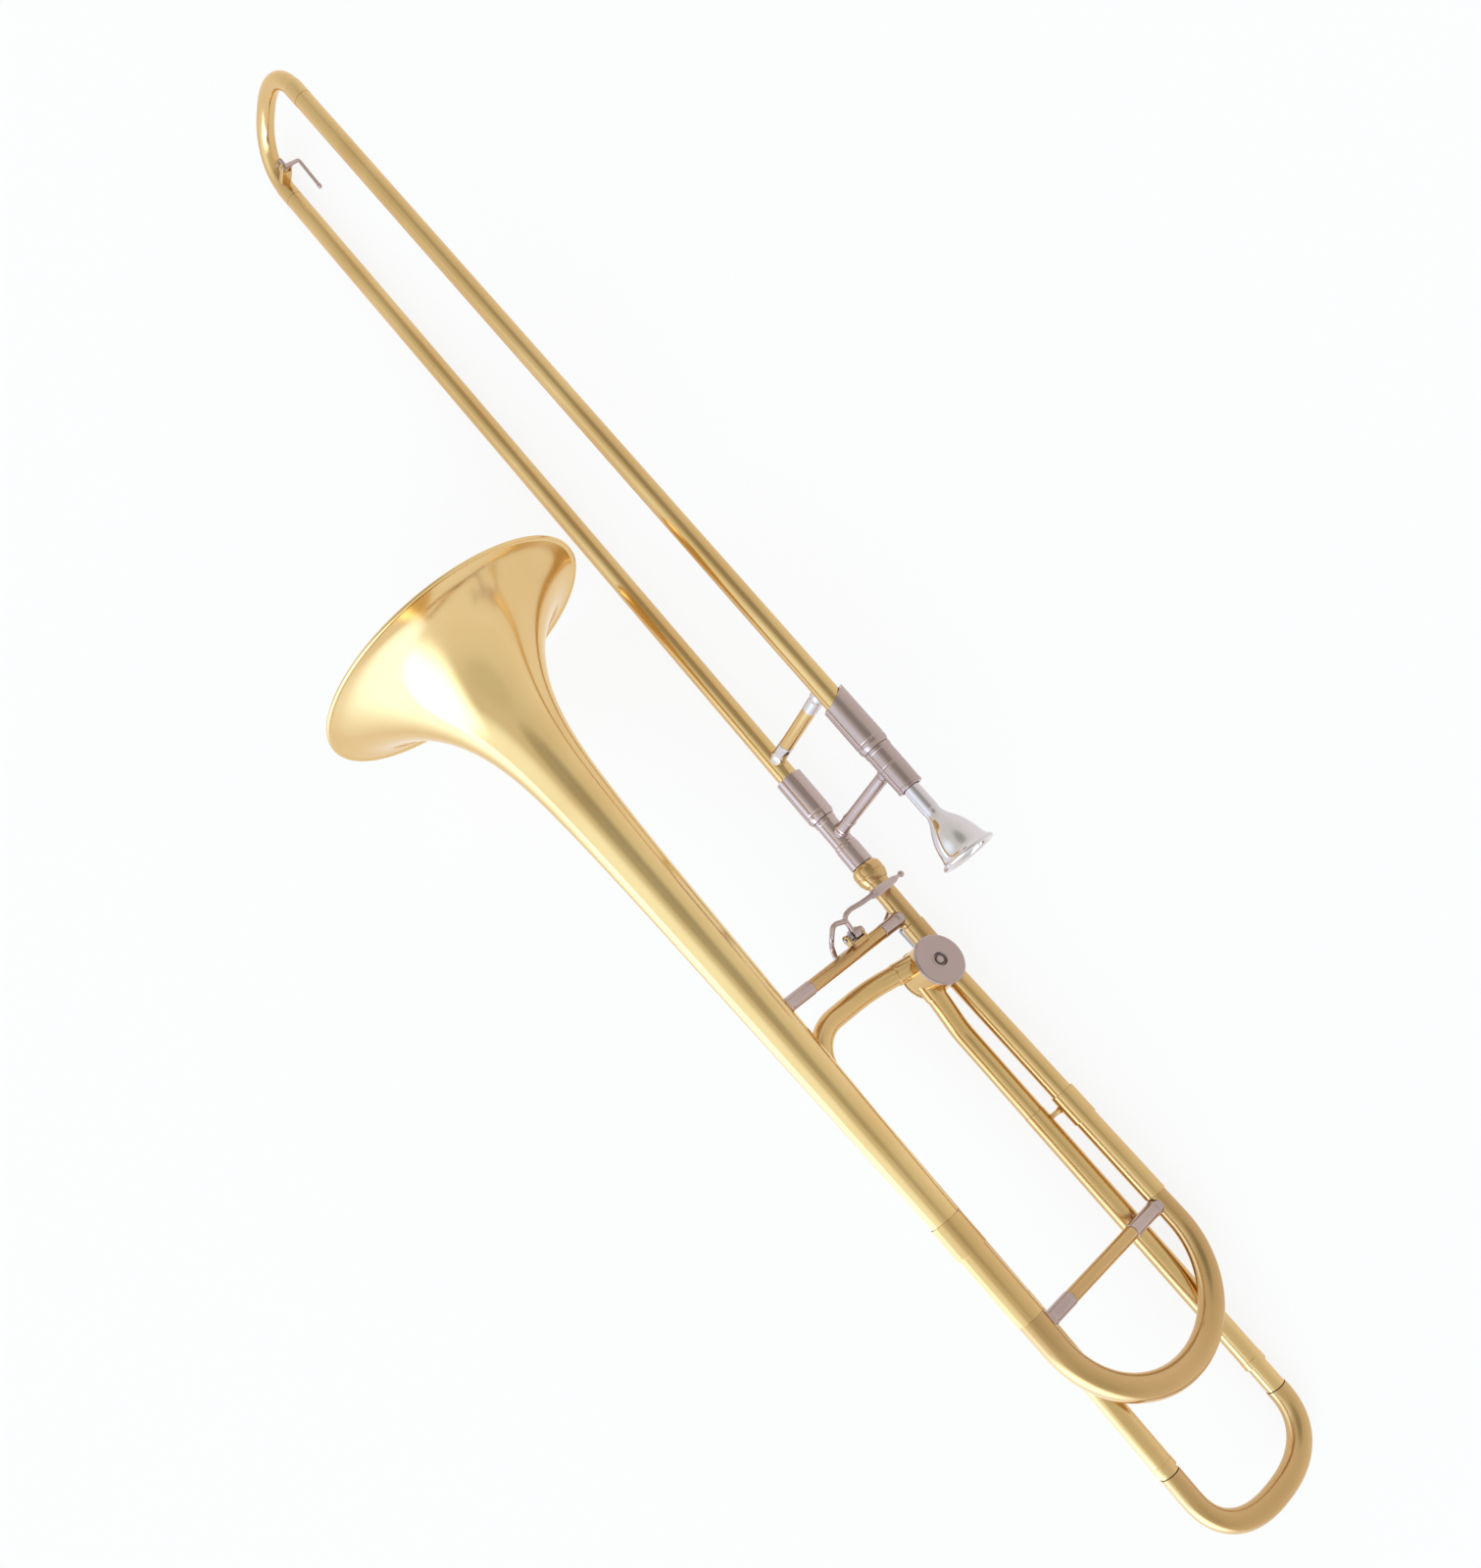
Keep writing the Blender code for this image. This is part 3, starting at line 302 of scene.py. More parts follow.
def bent_path(corners, radii, steps=10):
    """Straight runs between corners, joined by arcs of the given radii."""
    points = [Vector(p) for p in corners]
    path = [points[0]]
    for i in range(1, len(points) - 1):
        back = (points[i - 1] - points[i]).normalized()
        ahead = (points[i + 1] - points[i]).normalized()
        half = back.angle(ahead) / 2
        reach = radii[i - 1] / math.tan(half)
        centre = points[i] + (back + ahead).normalized() * radii[i - 1] / math.sin(half)
        first = points[i] + back * reach - centre
        last = points[i] + ahead * reach - centre
        axis = first.cross(last).normalized()
        for k in range(steps + 1):
            path.append(centre + Matrix.Rotation((math.pi - 2 * half) * k / steps, 3, axis) @ first)
    path.append(points[-1])
    return path


print("curve helpers ready")

# %% [markdown]
# Cutting and joining. A brace foot is coped to the round tube it is soldered to, and a lever is one forged
# or soldered piece. Boolean modifiers do both jobs: each is applied at once, and the tool piece is removed.

# %% Cut, join and box


def combine(piece, others, operation):
    """Applies one Boolean after another, and removes each tool piece once it has been used."""
    for other in others:
        step = piece.modifiers.new(operation.lower(), "BOOLEAN")
        step.operation = operation
        step.solver = "EXACT"
        step.object = other
        graph = bpy.context.evaluated_depsgraph_get()
        made = bpy.data.meshes.new_from_object(piece.evaluated_get(graph))
        piece.modifiers.clear()
        piece.data = made
        bpy.data.objects.remove(other)
    return piece


def cut(piece, *others):
    return combine(piece, others, "DIFFERENCE")


def join(piece, *others):
    return combine(piece, others, "UNION")


def rod(name, low, high, radius, place, axis="x", sides=TUBE_SIDES, soft=0.3):
    line = [(high, 0.0), (high, radius), (low, radius), (low, 0.0)]
    return turn(name, line, place, axis, sides, False, soft)


def tube(name, low, high, radius, bore, place, axis="x", sides=TUBE_SIDES, soft=0.15):
    line = [(high, radius), (low, radius), (low, bore), (high, bore)]
    return turn(name, line, place, axis, sides, True, soft)


def block(name, low, high, place, soft=0.4):
    """A box with its edges rounded over soft millimetres."""
    shape = bmesh.new()
    bmesh.ops.create_cube(shape, size=1.0)
    centre = (Vector(low) + Vector(high)) / 2
    size = Vector(high) - Vector(low)
    for corner in shape.verts:
        corner.co = centre + Vector((corner.co.x * size.x, corner.co.y * size.y, corner.co.z * size.z))
    if soft:
        bmesh.ops.bevel(shape, geom=list(shape.edges), offset=soft, segments=3, affect="EDGES", profile=0.5)
    mesh = bpy.data.meshes.new(name)
    shape.to_mesh(mesh)
    shape.free()
    layer = mesh.attributes.new(WRAP, "FLOAT_VECTOR", "CORNER")
    places = np.array([tuple(mesh.vertices[loop.vertex_index].co) for loop in mesh.loops], dtype=np.float32)
    layer.data.foreach_set("vector", places.ravel())
    mesh.transform(place)
    piece = bpy.data.objects.new(name, mesh)
    bpy.context.scene.collection.objects.link(piece)
    return piece


print("cut and join ready")

# %% [markdown]
# Finishes. Four things show on this instrument: clear-lacquered yellow brass, mauve nickel silver, bright
# silver plate and a little steel and cork. All the metals share three effects, so each effect is a node
# group: a slow change of tone over the surface, fine polishing marks that follow the tube, and faint haze
# from handling. The groups only put out colours and values, and the shader stays in each material.

# %% Node helpers


def new_group(name, inputs, outputs):
    group = bpy.data.node_groups.new(name, "ShaderNodeTree")
    for label, kind, value in inputs:
        socket = group.interface.new_socket(label, in_out="INPUT", socket_type=kind)
        if value is not None:
            socket.default_value = value
    for label, kind in outputs:
        group.interface.new_socket(label, in_out="OUTPUT", socket_type=kind)
    return group


def add_node(tree, kind, values=None, links=None, **settings):
    """A node with its settings, its fixed input values and the sockets that feed it."""
    node = tree.nodes.new(kind)
    for key, value in settings.items():
        setattr(node, key, value)
    for key, value in (values or {}).items():
        node.inputs[key].default_value = value
    for key, source in (links or {}).items():
        tree.links.new(source, node.inputs[key])
    return node


def tone_group():
    """Two close tones of one metal, mixed in slow soft patches."""
    group = new_group(
        "slow_tone",
        [
            ("Light Tone", "NodeSocketColor", (0.8, 0.6, 0.3, 1)),
            ("Deep Tone", "NodeSocketColor", (0.7, 0.5, 0.2, 1)),
            ("Patch Scale", "NodeSocketFloat", 9.0),
        ],
        [("Color", "NodeSocketColor")],
    )
    given = add_node(group, "NodeGroupInput").outputs
    place = add_node(group, "ShaderNodeTexCoord")
    patches = add_node(
        group, "ShaderNodeTexNoise", {"Detail": 3.0, "Roughness": 0.45, "Distortion": 0.4},
        {"Vector": place.outputs["Object"], "Scale": given["Patch Scale"]},
    )
    soft = add_node(
        group, "ShaderNodeMapRange", {"From Min": 0.32, "From Max": 0.68}, {"Value": patches.outputs["Fac"]},
        interpolation_type="SMOOTHSTEP",
    )
    mixed = add_node(group, "ShaderNodeMix", None, {"Factor": soft.outputs["Result"]}, data_type="RGBA")
    group.links.new(given["Light Tone"], mixed.inputs["A"])
    group.links.new(given["Deep Tone"], mixed.inputs["B"])
    add_node(group, "NodeGroupOutput", None, {"Color": mixed.outputs["Result"]})
    return group


def marks_group():
    """Fine polishing marks: long round the tube and narrow along it."""
    group = new_group(
        "polishing_marks",
        [("Round Scale", "NodeSocketFloat", 0.05), ("Along Scale", "NodeSocketFloat", 3.0)],
        [("Height", "NodeSocketFloat")],
    )
    given = add_node(group, "NodeGroupInput").outputs
    wrap = add_node(group, "ShaderNodeAttribute", attribute_name=WRAP)
    scale = add_node(
        group, "ShaderNodeCombineXYZ", {"Z": 1.0}, {"X": given["Round Scale"], "Y": given["Along Scale"]},
    )
    stretched = add_node(
        group, "ShaderNodeVectorMath", None, {0: wrap.outputs["Vector"], 1: scale.outputs["Vector"]},
        operation="MULTIPLY",
    )
    marks = add_node(
        group, "ShaderNodeTexNoise", {"Scale": 1.0, "Detail": 4.0, "Roughness": 0.6},
        {"Vector": stretched.outputs["Vector"]},
    )
    add_node(group, "NodeGroupOutput", None, {"Height": marks.outputs["Fac"]})
    return group


def haze_group():
    """Roughness that rises a little in patches where hands have been."""
    group = new_group(
        "handling_haze",
        [
            ("Polished", "NodeSocketFloat", 0.1), ("Hazy", "NodeSocketFloat", 0.2),
            ("Haze Scale", "NodeSocketFloat", 30.0),
        ],
        [("Roughness", "NodeSocketFloat")],
    )
    given = add_node(group, "NodeGroupInput").outputs
    place = add_node(group, "ShaderNodeTexCoord")
    haze = add_node(
        group, "ShaderNodeTexNoise", {"Detail": 5.0, "Roughness": 0.6},
        {"Vector": place.outputs["Object"], "Scale": given["Haze Scale"]},
    )
    spread = add_node(
        group, "ShaderNodeMapRange", {"From Min": 0.35, "From Max": 0.75},
        {"Value": haze.outputs["Fac"], "To Min": given["Polished"], "To Max": given["Hazy"]},
    )
    add_node(group, "NodeGroupOutput", None, {"Roughness": spread.outputs["Result"]})
    return group


GROUPS = {"tone": tone_group(), "marks": marks_group(), "haze": haze_group()}
print("groups", sorted(group.name for group in GROUPS.values()))

# %% [markdown]
# Each metal then needs only its two tones, how polished it is and how deep its marks are. Lacquer is a
# clear coat over the metal, and it softens the reflections a little. Brass comes in three depths: the big
# bell is the palest, tubes are deeper, and a few listed parts are deeper still. The values that are the
# same all over sit on the shader's own sockets.

# %% Metals


def metal(name, light, deep, polished, hazy, mark_depth, coat=0.0, coat_roughness=0.05, edge=(1, 1, 1)):
    """A mirror-like metal. The edge colour is what it reflects at a grazing angle."""
    material = bpy.data.materials.new(name)
    material.use_nodes = True
    tree = material.node_tree
    shader = tree.nodes["Principled BSDF"]
    shader.inputs["Metallic"].default_value = 1.0
    shader.inputs["Coat Weight"].default_value = coat
    shader.inputs["Coat Roughness"].default_value = coat_roughness
    shader.inputs["Specular Tint"].default_value = (*edge, 1)
    tone = add_node(tree, "ShaderNodeGroup", node_tree=GROUPS["tone"])
    tone.inputs["Light Tone"].default_value = (*light, 1)
    tone.inputs["Deep Tone"].default_value = (*deep, 1)
    haze = add_node(tree, "ShaderNodeGroup", node_tree=GROUPS["haze"])
    haze.inputs["Polished"].default_value = polished
    haze.inputs["Hazy"].default_value = hazy
    marks = add_node(tree, "ShaderNodeGroup", node_tree=GROUPS["marks"])
    bump = add_node(tree, "ShaderNodeBump", {"Strength": 0.25, "Distance": mark_depth * MM})
    tree.links.new(marks.outputs["Height"], bump.inputs["Height"])
    tree.links.new(tone.outputs["Color"], shader.inputs["Base Color"])
    tree.links.new(haze.outputs["Roughness"], shader.inputs["Roughness"])
    tree.links.new(bump.outputs["Normal"], shader.inputs["Normal"])
    material.diffuse_color = (*light, 1)
    return material


BRASS = metal(
    "lacquered_brass", (0.80, 0.57, 0.26), (0.75, 0.50, 0.21), 0.13, 0.20, 0.02,
    coat=0.5, coat_roughness=0.10, edge=(1.0, 0.88, 0.66),
)
TUBE_BRASS = metal(
    "tubing_brass", (0.74, 0.50, 0.22), (0.66, 0.42, 0.165), 0.14, 0.22, 0.02,
    coat=0.6, coat_roughness=0.12, edge=(1.0, 0.86, 0.66),
)
# The deepest of the three brasses, set on a few listed parts.
DEEPEST_BRASS = metal(
    "deepest_brass", (0.61, 0.385, 0.165), (0.53, 0.32, 0.125), 0.16, 0.24, 0.02,
    coat=0.5, coat_roughness=0.12, edge=(1.0, 0.86, 0.66),
)
NICKEL_SILVER = metal("nickel_silver", (0.545, 0.42, 0.395), (0.455, 0.345, 0.325), 0.18, 0.28, 0.03)
# A darker nickel, painted shade for the recessed groove in the valve cap.
GROOVE_SHADE_NICKEL = metal("groove_shade_nickel", (0.34, 0.26, 0.24), (0.26, 0.20, 0.185), 0.30, 0.42, 0.03)
SILVER_PLATE = metal("silver_plate", (0.75, 0.70, 0.705), (0.65, 0.59, 0.60), 0.10, 0.18, 0.02)
STEEL = metal("bright_steel", (0.56, 0.55, 0.56), (0.45, 0.44, 0.46), 0.22, 0.32, 0.03)
print("metals", [material.name for material in bpy.data.materials if material.use_nodes])

# %% [markdown]
# Cork is the one soft finish: a brown ground with darker pits, rough all over.

# %% Cork


def cork_material():
    material = bpy.data.materials.new("cork")
    material.use_nodes = True
    tree = material.node_tree
    shader = tree.nodes["Principled BSDF"]
    place = add_node(tree, "ShaderNodeTexCoord")
    grains = add_node(tree, "ShaderNodeTexVoronoi", {"Scale": 900.0}, {"Vector": place.outputs["Object"]})
    ramp = add_node(tree, "ShaderNodeValToRGB", None, {"Fac": grains.outputs["Distance"]})
    ramp.color_ramp.elements[0].color = (0.62, 0.42, 0.24, 1)
    ramp.color_ramp.elements[1].color = (0.30, 0.18, 0.09, 1)
    bump = add_node(
        tree, "ShaderNodeBump",
        {"Strength": 0.5, "Distance": 0.1 * MM}, {"Height": grains.outputs["Distance"]},
    )
    shader.inputs["Roughness"].default_value = 0.85
    tree.links.new(ramp.outputs["Color"], shader.inputs["Base Color"])
    tree.links.new(bump.outputs["Normal"], shader.inputs["Normal"])
    return material


CORK = cork_material()
FINISHES = {
    "lacquered_brass": BRASS, "nickel_silver": NICKEL_SILVER, "silver_plate": SILVER_PLATE, "steel": STEEL,
    "cork": CORK,
}
print("finishes", sorted(FINISHES))

# %% [markdown]
# Every finished piece takes its body from the record, by the CAD node that it stands for, and its metal
# from that node's material slot, except where the photograph shows a deeper brass or brass instead of
# nickel. A weighted normal keeps long flat runs true right up to their rounded edges.

# %% Finish a piece
# The parts that take the deepest brass.
DEEPEST_PARTS = (
    "f_bow", "tuning_bow", "bell_brace_rod", "tuning_brace_rod", "neck_pipe", "lock_nut", "lever_saddle",
)
BRASS_TO_THE_EYE = ("f_inner_leg_a", "f_inner_leg_b", "water_key_saddle")
SHARP_ANGLE = math.radians(38.0)


def finish_of(node):
    if node in DEEPEST_PARTS:
        return DEEPEST_BRASS
    if node in BRASS_TO_THE_EYE or (SLOT_OF[node] == "lacquered_brass" and node != "bell"):
        return TUBE_BRASS
    return FINISHES[SLOT_OF[node]]


def finish(piece, node):
    """The piece takes the node's place on its body."""
    piece.name = node + "_finished"
    piece.data.materials.clear()
    piece.data.materials.append(finish_of(node))
    for polygon in piece.data.polygons:
        polygon.use_smooth = True
        polygon.material_index = 0
    piece.data.set_sharp_from_angle(angle=SHARP_ANGLE)
    piece.modifiers.new("even_shading", "WEIGHTED_NORMAL").keep_sharp = True
    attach(piece, BODY_OF[node])
    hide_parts(node)
    return piece


# %% [markdown]
# The bell is one spun and hammered sheet, drawn down to a narrow tail. Its mouth is rolled over a wire,
# which makes the thin bright rim. Only the shape of the outer side is drawn, and the inner side follows
# it one wall's thickness in.

# %% Bell
BELL_RIM_U = 366.0
BELL_RIM_RADIUS = 106.6
RIM_BEAD_RADIUS = 1.4
BELL_WALL = 0.7
BEAD_FROM, BEAD_SWEEP = 200.0, 292.0
BELL_PROFILE = [
    (-131, 10.1), (-8, 13.3), (82, 15.9), (162, 18.2), (222, 21.1), (265.5, 25.6), (298.4, 34.1),
    (321.7, 45.8), (338.8, 59.6), (350.2, 73.3), (358.6, 86.7), (363.0, 96.5), (365.2, 105.0),
]


def bell_line():
    """The outer side from rim to tail, the inner side back again, and the rolled bead that joins them."""
    outer = smooth_line(BELL_PROFILE, 10)
    inner = []
    for i, point in enumerate(outer):
        along = (outer[min(i + 1, len(outer) - 1)] - outer[max(i - 1, 0)]).normalized()
        inner.append(point + Vector((along.y, -along.x)) * BELL_WALL)
    bead = []
    for k in range(17):
        angle = math.radians(BEAD_FROM - BEAD_SWEEP * k / 16)
        reach = Vector((math.cos(angle), math.sin(angle))) * RIM_BEAD_RADIUS
        bead.append(Vector((BELL_RIM_U, BELL_RIM_RADIUS)) + reach)
    return list(reversed(outer)) + inner + list(reversed(bead))


finish(turn("bell", bell_line(), BELL_AXIS, sides=192, soft=0), "bell")
BELL_FERRULE_U = (-147.0, -124.0)
BELL_SLEEVE_U = (-196.5, -131.3)
finish(tube("ring", *BELL_FERRULE_U, 11.3, 10.85, BELL_AXIS, sides=FINE_SIDES), "bell_ferrule")
finish(tube("sleeve", *BELL_SLEEVE_U, 10.0, 9.4, BELL_AXIS, sides=FINE_SIDES), "bell_side_sleeve")
print("bell mouth", round(2 * (BELL_RIM_RADIUS + RIM_BEAD_RADIUS), 1), "mm across")

# %% [markdown]
# The neck side of the bell section is a plain tube, a ferrule over the joint, and the sleeve that the
# tuning slide's leg runs in. Where two tubes meet end to end, a hairline seam is left between them, so that
# they stay two pieces and the joint shows.

# %% Neck tubes
SEAM = 0.1
NECK_JOIN_U = -127.0
NECK_SLEEVE_END_U = -199.2
NECK_RADIUS = 7.3
NECK_SLEEVE_RADIUS = 7.7
NECK_START_U = -10.0
neck = tube("neck", NECK_JOIN_U, NECK_START_U, NECK_RADIUS, NECK_RADIUS - 0.6, INSTRUMENT)
finish(cut(neck, rod("trim", -30, 30, 15.0, VALVE, "z", FINE_SIDES)), "neck_tube")
finish(tube("ring", -138.0, -116.5, 8.45, 8.0, INSTRUMENT), "neck_ferrule")
neck_sleeve = tube(
    "sleeve", NECK_SLEEVE_END_U, NECK_JOIN_U - SEAM,
    NECK_SLEEVE_RADIUS, NECK_SLEEVE_RADIUS - 0.55, INSTRUMENT,
)
finish(neck_sleeve, "neck_side_sleeve")
print("neck tube", round(NECK_START_U - NECK_JOIN_U, 1), "mm long")

# %% [markdown]
# The main tuning slide is a bow that widens from the neck side to the bell side, with a thin nickel silver
# leg in each sleeve. The brace across it is three pieces: a sleeve at each end and a brass rod.

# %% Main tuning slide
BOW_CENTRE_U = -218.2
BOW_DEPTH = 0.92 * BELL_V / 2
BOW_RADII = (7.0, 9.4)
BOW_PATH = bow_path(
    (NECK_SLEEVE_END_U - 2 * SEAM, 0, 0), bow_points(BOW_CENTRE_U, BOW_CENTRE_U - BOW_DEPTH, BELL_V, 120),
    (BELL_SLEEVE_U[0] - 2 * SEAM, BELL_V, 0), 2.2,
)
BOW_OUTER = [float(radius) for radius in np.linspace(*BOW_RADII, len(BOW_PATH))]
finish(sweep("bow", BOW_PATH, BOW_OUTER, [r - 0.6 for r in BOW_OUTER], INSTRUMENT, sides=72), "tuning_bow")
finish(tube("leg", NECK_SLEEVE_END_U - SEAM, -141.0, 6.8, 6.2, INSTRUMENT), "tuning_leg_neck")
finish(tube("leg", BELL_SLEEVE_U[0] - SEAM, -145.0, 9.05, 8.45, BELL_AXIS), "tuning_leg_bell")
print("bow points", len(BOW_PATH))

# %% [markdown]
# Every brace on the instrument is made the same way, so one function turns its three pieces and copes the
# two outer ones to the tubes that they meet. Each end sleeve starts inside its tube, and a rod of the
# tube's size then cuts its foot to fit. The foot swells over its last few millimetres.

# %% Braces
FOOT_STARTS, FOOT_SWELLS, FOOT_FULL = 5.0, 3.2, 1.6
INTO_TUBE = 6.0


def end_line(foot, tip, way, sleeve_radius, foot_radius):
    """A sleeve's outline from its tip to inside its tube. The way is 1 or -1, from the foot to the tip."""
    return [
        (tip, 0.0), (tip, sleeve_radius), (foot + way * FOOT_STARTS, sleeve_radius),
        (foot + way * FOOT_SWELLS, sleeve_radius + 0.1), (foot + way * FOOT_FULL, foot_radius),
        (foot - way * INTO_TUBE, foot_radius), (foot - way * INTO_TUBE, 0.0),
    ]


def brace(names, place, axis, low, high, lengths, radii, trims):
    """Two end sleeves with a flared foot and the rod between them, along an axis from low to high."""
    rod_radius, *end_radii = radii
    low_end, high_end = low + lengths[0], high - lengths[1]
    low_line = end_line(low, low_end, 1, *end_radii)
    high_line = end_line(high, high_end, -1, *end_radii)[::-1]
    lower = turn("end", low_line, place, axis, closed=False, soft=0.5)
    upper = turn("end", high_line, place, axis, closed=False, soft=0.5)
    finish(cut(lower, trims[0]), names[0])
    finish(rod("rod", low_end + SEAM, high_end - SEAM, rod_radius, place, axis), names[1])
    finish(cut(upper, trims[1]), names[2])


def brace_names(prefix):
    return prefix + "_end_a", prefix + "_rod", prefix + "_end_b"


TUNING_BRACE_LINE = INSTRUMENT @ Matrix.Translation((-204.9, 0, 0))
brace(
    brace_names("tuning_brace"), TUNING_BRACE_LINE, "y", 7.0, BELL_V - 9.0, (26.0, 22.0), (4.5, 4.8, 5.4),
    (rod("trim", -240, -180, 7.15, INSTRUMENT), rod("trim", -240, -180, 9.3, BELL_AXIS)),
)
BELL_BRACE_LINE = INSTRUMENT @ Matrix.Translation((35.0, 0, 0))
brace(
    brace_names("bell_brace"), BELL_BRACE_LINE, "y", 4.0, BELL_V - 14.0, (17.0, 24.0), (4.8, 5.1, 5.8),
    (rod("trim", 60, 160, 7.7, SLIDE), rod("trim", -20, 100, 14.7, BELL_AXIS, sides=FINE_SIDES)),
)
print("braces made")

# %% [markdown]
# The rotary valve sits on the neck line. Its casing is a short brass drum with four tubes let into it, a
# nickel silver cap on top and a bearing plate underneath. The cap's middle is a button in a groove inside
# a low ring. The groove's faces take a darker nickel as a second material, which is painted shade in the
# recess. Each tube enters the drum through a short collar, and is coped to the round wall.

# %% Valve casing, cap and plate
CASING_RADIUS = 17.7
CASING_BORE = 14.6
CASING_LOW, CASING_TOP = -12.2, 9.6
BAND, BAND_STEP = 2.2, 0.25
CAP_RADIUS = 18.2
CAP_LOW, CAP_TOP = 9.9, 12.5
GROOVE = (2.5, 4.9)
GROOVE_DEPTH = 1.5


def in_valve(point):
    return Vector(point) - VALVE_PLACE


def f_line(x, y):
    """A point of the F slide's plane in the valve frame."""
    return VALVE.inverted() @ (F_PLANE @ Vector((x, y, 0.0)))


casing_line = [
    (CASING_TOP, CASING_BORE), (CASING_TOP, CASING_RADIUS), (CASING_TOP - BAND, CASING_RADIUS),
    (CASING_TOP - BAND - 0.2, CASING_RADIUS - BAND_STEP),
    (CASING_LOW + BAND + 0.2, CASING_RADIUS - BAND_STEP),
    (CASING_LOW + BAND, CASING_RADIUS), (CASING_LOW, CASING_RADIUS), (CASING_LOW, CASING_BORE),
]
finish(turn("casing", casing_line, VALVE, "z", FINE_SIDES), "valve_casing")
cap_line = [
    (CAP_TOP - 0.2, 0.0), (CAP_TOP - 0.1, 1.4), (CAP_TOP - 0.3, GROOVE[0]), (CAP_TOP - GROOVE_DEPTH, 3.3),
    (CAP_TOP - GROOVE_DEPTH, 4.1), (CAP_TOP + 0.2, GROOVE[1]), (CAP_TOP + 0.35, 5.9), (CAP_TOP, 6.3),
    (CAP_TOP - 0.05, CAP_RADIUS - 1.1), (CAP_TOP - 0.9, CAP_RADIUS), (CAP_LOW, CAP_RADIUS), (CAP_LOW, 0.0),
]
cap = finish(turn("cap", cap_line, VALVE, "z", FINE_SIDES, closed=False, soft=0.2), "valve_cap")
# The groove's faces take the darker nickel: painted shade in the recess.
cap.data.materials.append(GROOVE_SHADE_NICKEL)
for polygon in cap.data.polygons:
    middle = VALVE.inverted() @ polygon.center
    if middle.z > CAP_TOP - GROOVE_DEPTH - 0.2 and GROOVE[0] < middle.xy.length < GROOVE[1]:
        polygon.material_index = 1
finish(tube("plate", -13.7, -12.5, 18.1, 4.2, VALVE, "z", FINE_SIDES, soft=0.3), "valve_back_plate")
print("valve casing", round(2 * CASING_RADIUS, 1), "mm across")

# %% [markdown]
# The F attachment's tubing leaves the valve on one side, runs back beside the neck tube, turns through its
# own small slide and returns to the valve in one long curve behind the bell. The slide's bow is squarer
# than half an ellipse.

# %% F attachment
F_TUBE_RADIUS = 7.2
F_SLEEVE_RADIUS = 7.45
F_LEG_RADIUS = 6.6
F_JOIN_U = -116.0
F_BACK_JOIN_U = -188.0
F_SLEEVE_END_U = -312.0
F_BOW_START_U = -329.0
WALL = 0.6
COLLAR_RISE = 0.6
LEG_COVER = 12.0
BOW_SQUARENESS = 2.35
F_OUT_PATH = bent_path(
    [in_valve((-6, 17.6, -5.2)), in_valve((-21, 18.4, -6.2)), f_line(-46, 0), f_line(F_JOIN_U, 0)],
    [40.0, 40.0],
)
F_BACK_PATH = bent_path(
    [
        in_valve((5.0, 17.0, -1.8)), in_valve((11.4, 52.0, -12.5)), f_line(11.2, F_SPACING),
        f_line(F_BACK_JOIN_U, F_SPACING),
    ],
    [90.0, 29.0], steps=24,
)


def valve_wall():
    return rod("trim", -30, 30, CASING_RADIUS - 0.5, VALVE, "z", FINE_SIDES)


def collar(path, radius, length):
    """A short raised band round the first stretch of a tube."""
    steps = even_steps(path, 0.5)[:2 * length + 1]
    radii = [radius - 0.15] + [radius] * (len(steps) - 2) + [radius - 0.15]
    return sweep("collar", steps, radii, radius - 1.0, VALVE)


f_out = sweep("out", even_steps(F_OUT_PATH, 2.5), F_TUBE_RADIUS, F_TUBE_RADIUS - WALL, VALVE)
finish(cut(join(f_out, collar(F_OUT_PATH, F_TUBE_RADIUS + COLLAR_RISE, 14)), valve_wall()), "f_leg_tube")
f_back = sweep("back", even_steps(F_BACK_PATH, 2.5), F_TUBE_RADIUS, F_TUBE_RADIUS - WALL, VALVE, sides=64)
finish(cut(join(f_back, collar(F_BACK_PATH, F_TUBE_RADIUS + COLLAR_RISE, 16)), valve_wall()), "f_return_tube")
for node, place, start in (("f_leg_sleeve", F_PLANE, F_JOIN_U), ("f_return_sleeve", F_RETURN, F_BACK_JOIN_U)):
    line = [
        (start - SEAM, F_SLEEVE_RADIUS), (F_SLEEVE_END_U + 5.0, F_SLEEVE_RADIUS),
        (F_SLEEVE_END_U + 4.8, F_SLEEVE_RADIUS + 0.25), (F_SLEEVE_END_U, F_SLEEVE_RADIUS + 0.25),
        (F_SLEEVE_END_U, F_LEG_RADIUS + 0.3), (start - SEAM, F_LEG_RADIUS + 0.3),
    ]
    finish(turn("sleeve", line, place, soft=0.15), node)
for node, place, low, join_u in (
    ("f_inner_leg_a", F_PLANE, F_BOW_START_U + 0.3, F_JOIN_U),
    ("f_inner_leg_b", F_RETURN, F_BOW_START_U + 14.3, F_BACK_JOIN_U),
):
    finish(tube("leg", low, join_u - LEG_COVER, F_LEG_RADIUS, F_LEG_RADIUS - WALL, place), node)
F_BOW_PATH = bow_path(
    (F_BOW_START_U, 0, 0), bow_points(-331.5, -366.3, F_SPACING, 160, BOW_SQUARENESS),
    (F_BOW_START_U + 14.0, F_SPACING, 0), 1.8,
)
finish(sweep("bow", F_BOW_PATH, F_TUBE_RADIUS, F_TUBE_RADIUS - WALL, F_PLANE), "f_bow")
print("F return path", len(F_BACK_PATH), "points")

# %% [markdown]
# A short stay ties the F tubing to the neck tube. Its two feet flare out like drops of solder.

# %% Stay between the neck tube and the F tubing
STAY_U = -124.5
STAY_ENDS = (Vector((STAY_U, 6.0, -5.6)), Vector((STAY_U, 12.6, -11.6)))


def stay_radii(count):
    """Thin in the middle, and nearly twice as thick at both feet."""
    return [1.7 + 1.3 * abs(2 * i / (count - 1) - 1) ** 3 for i in range(count)]


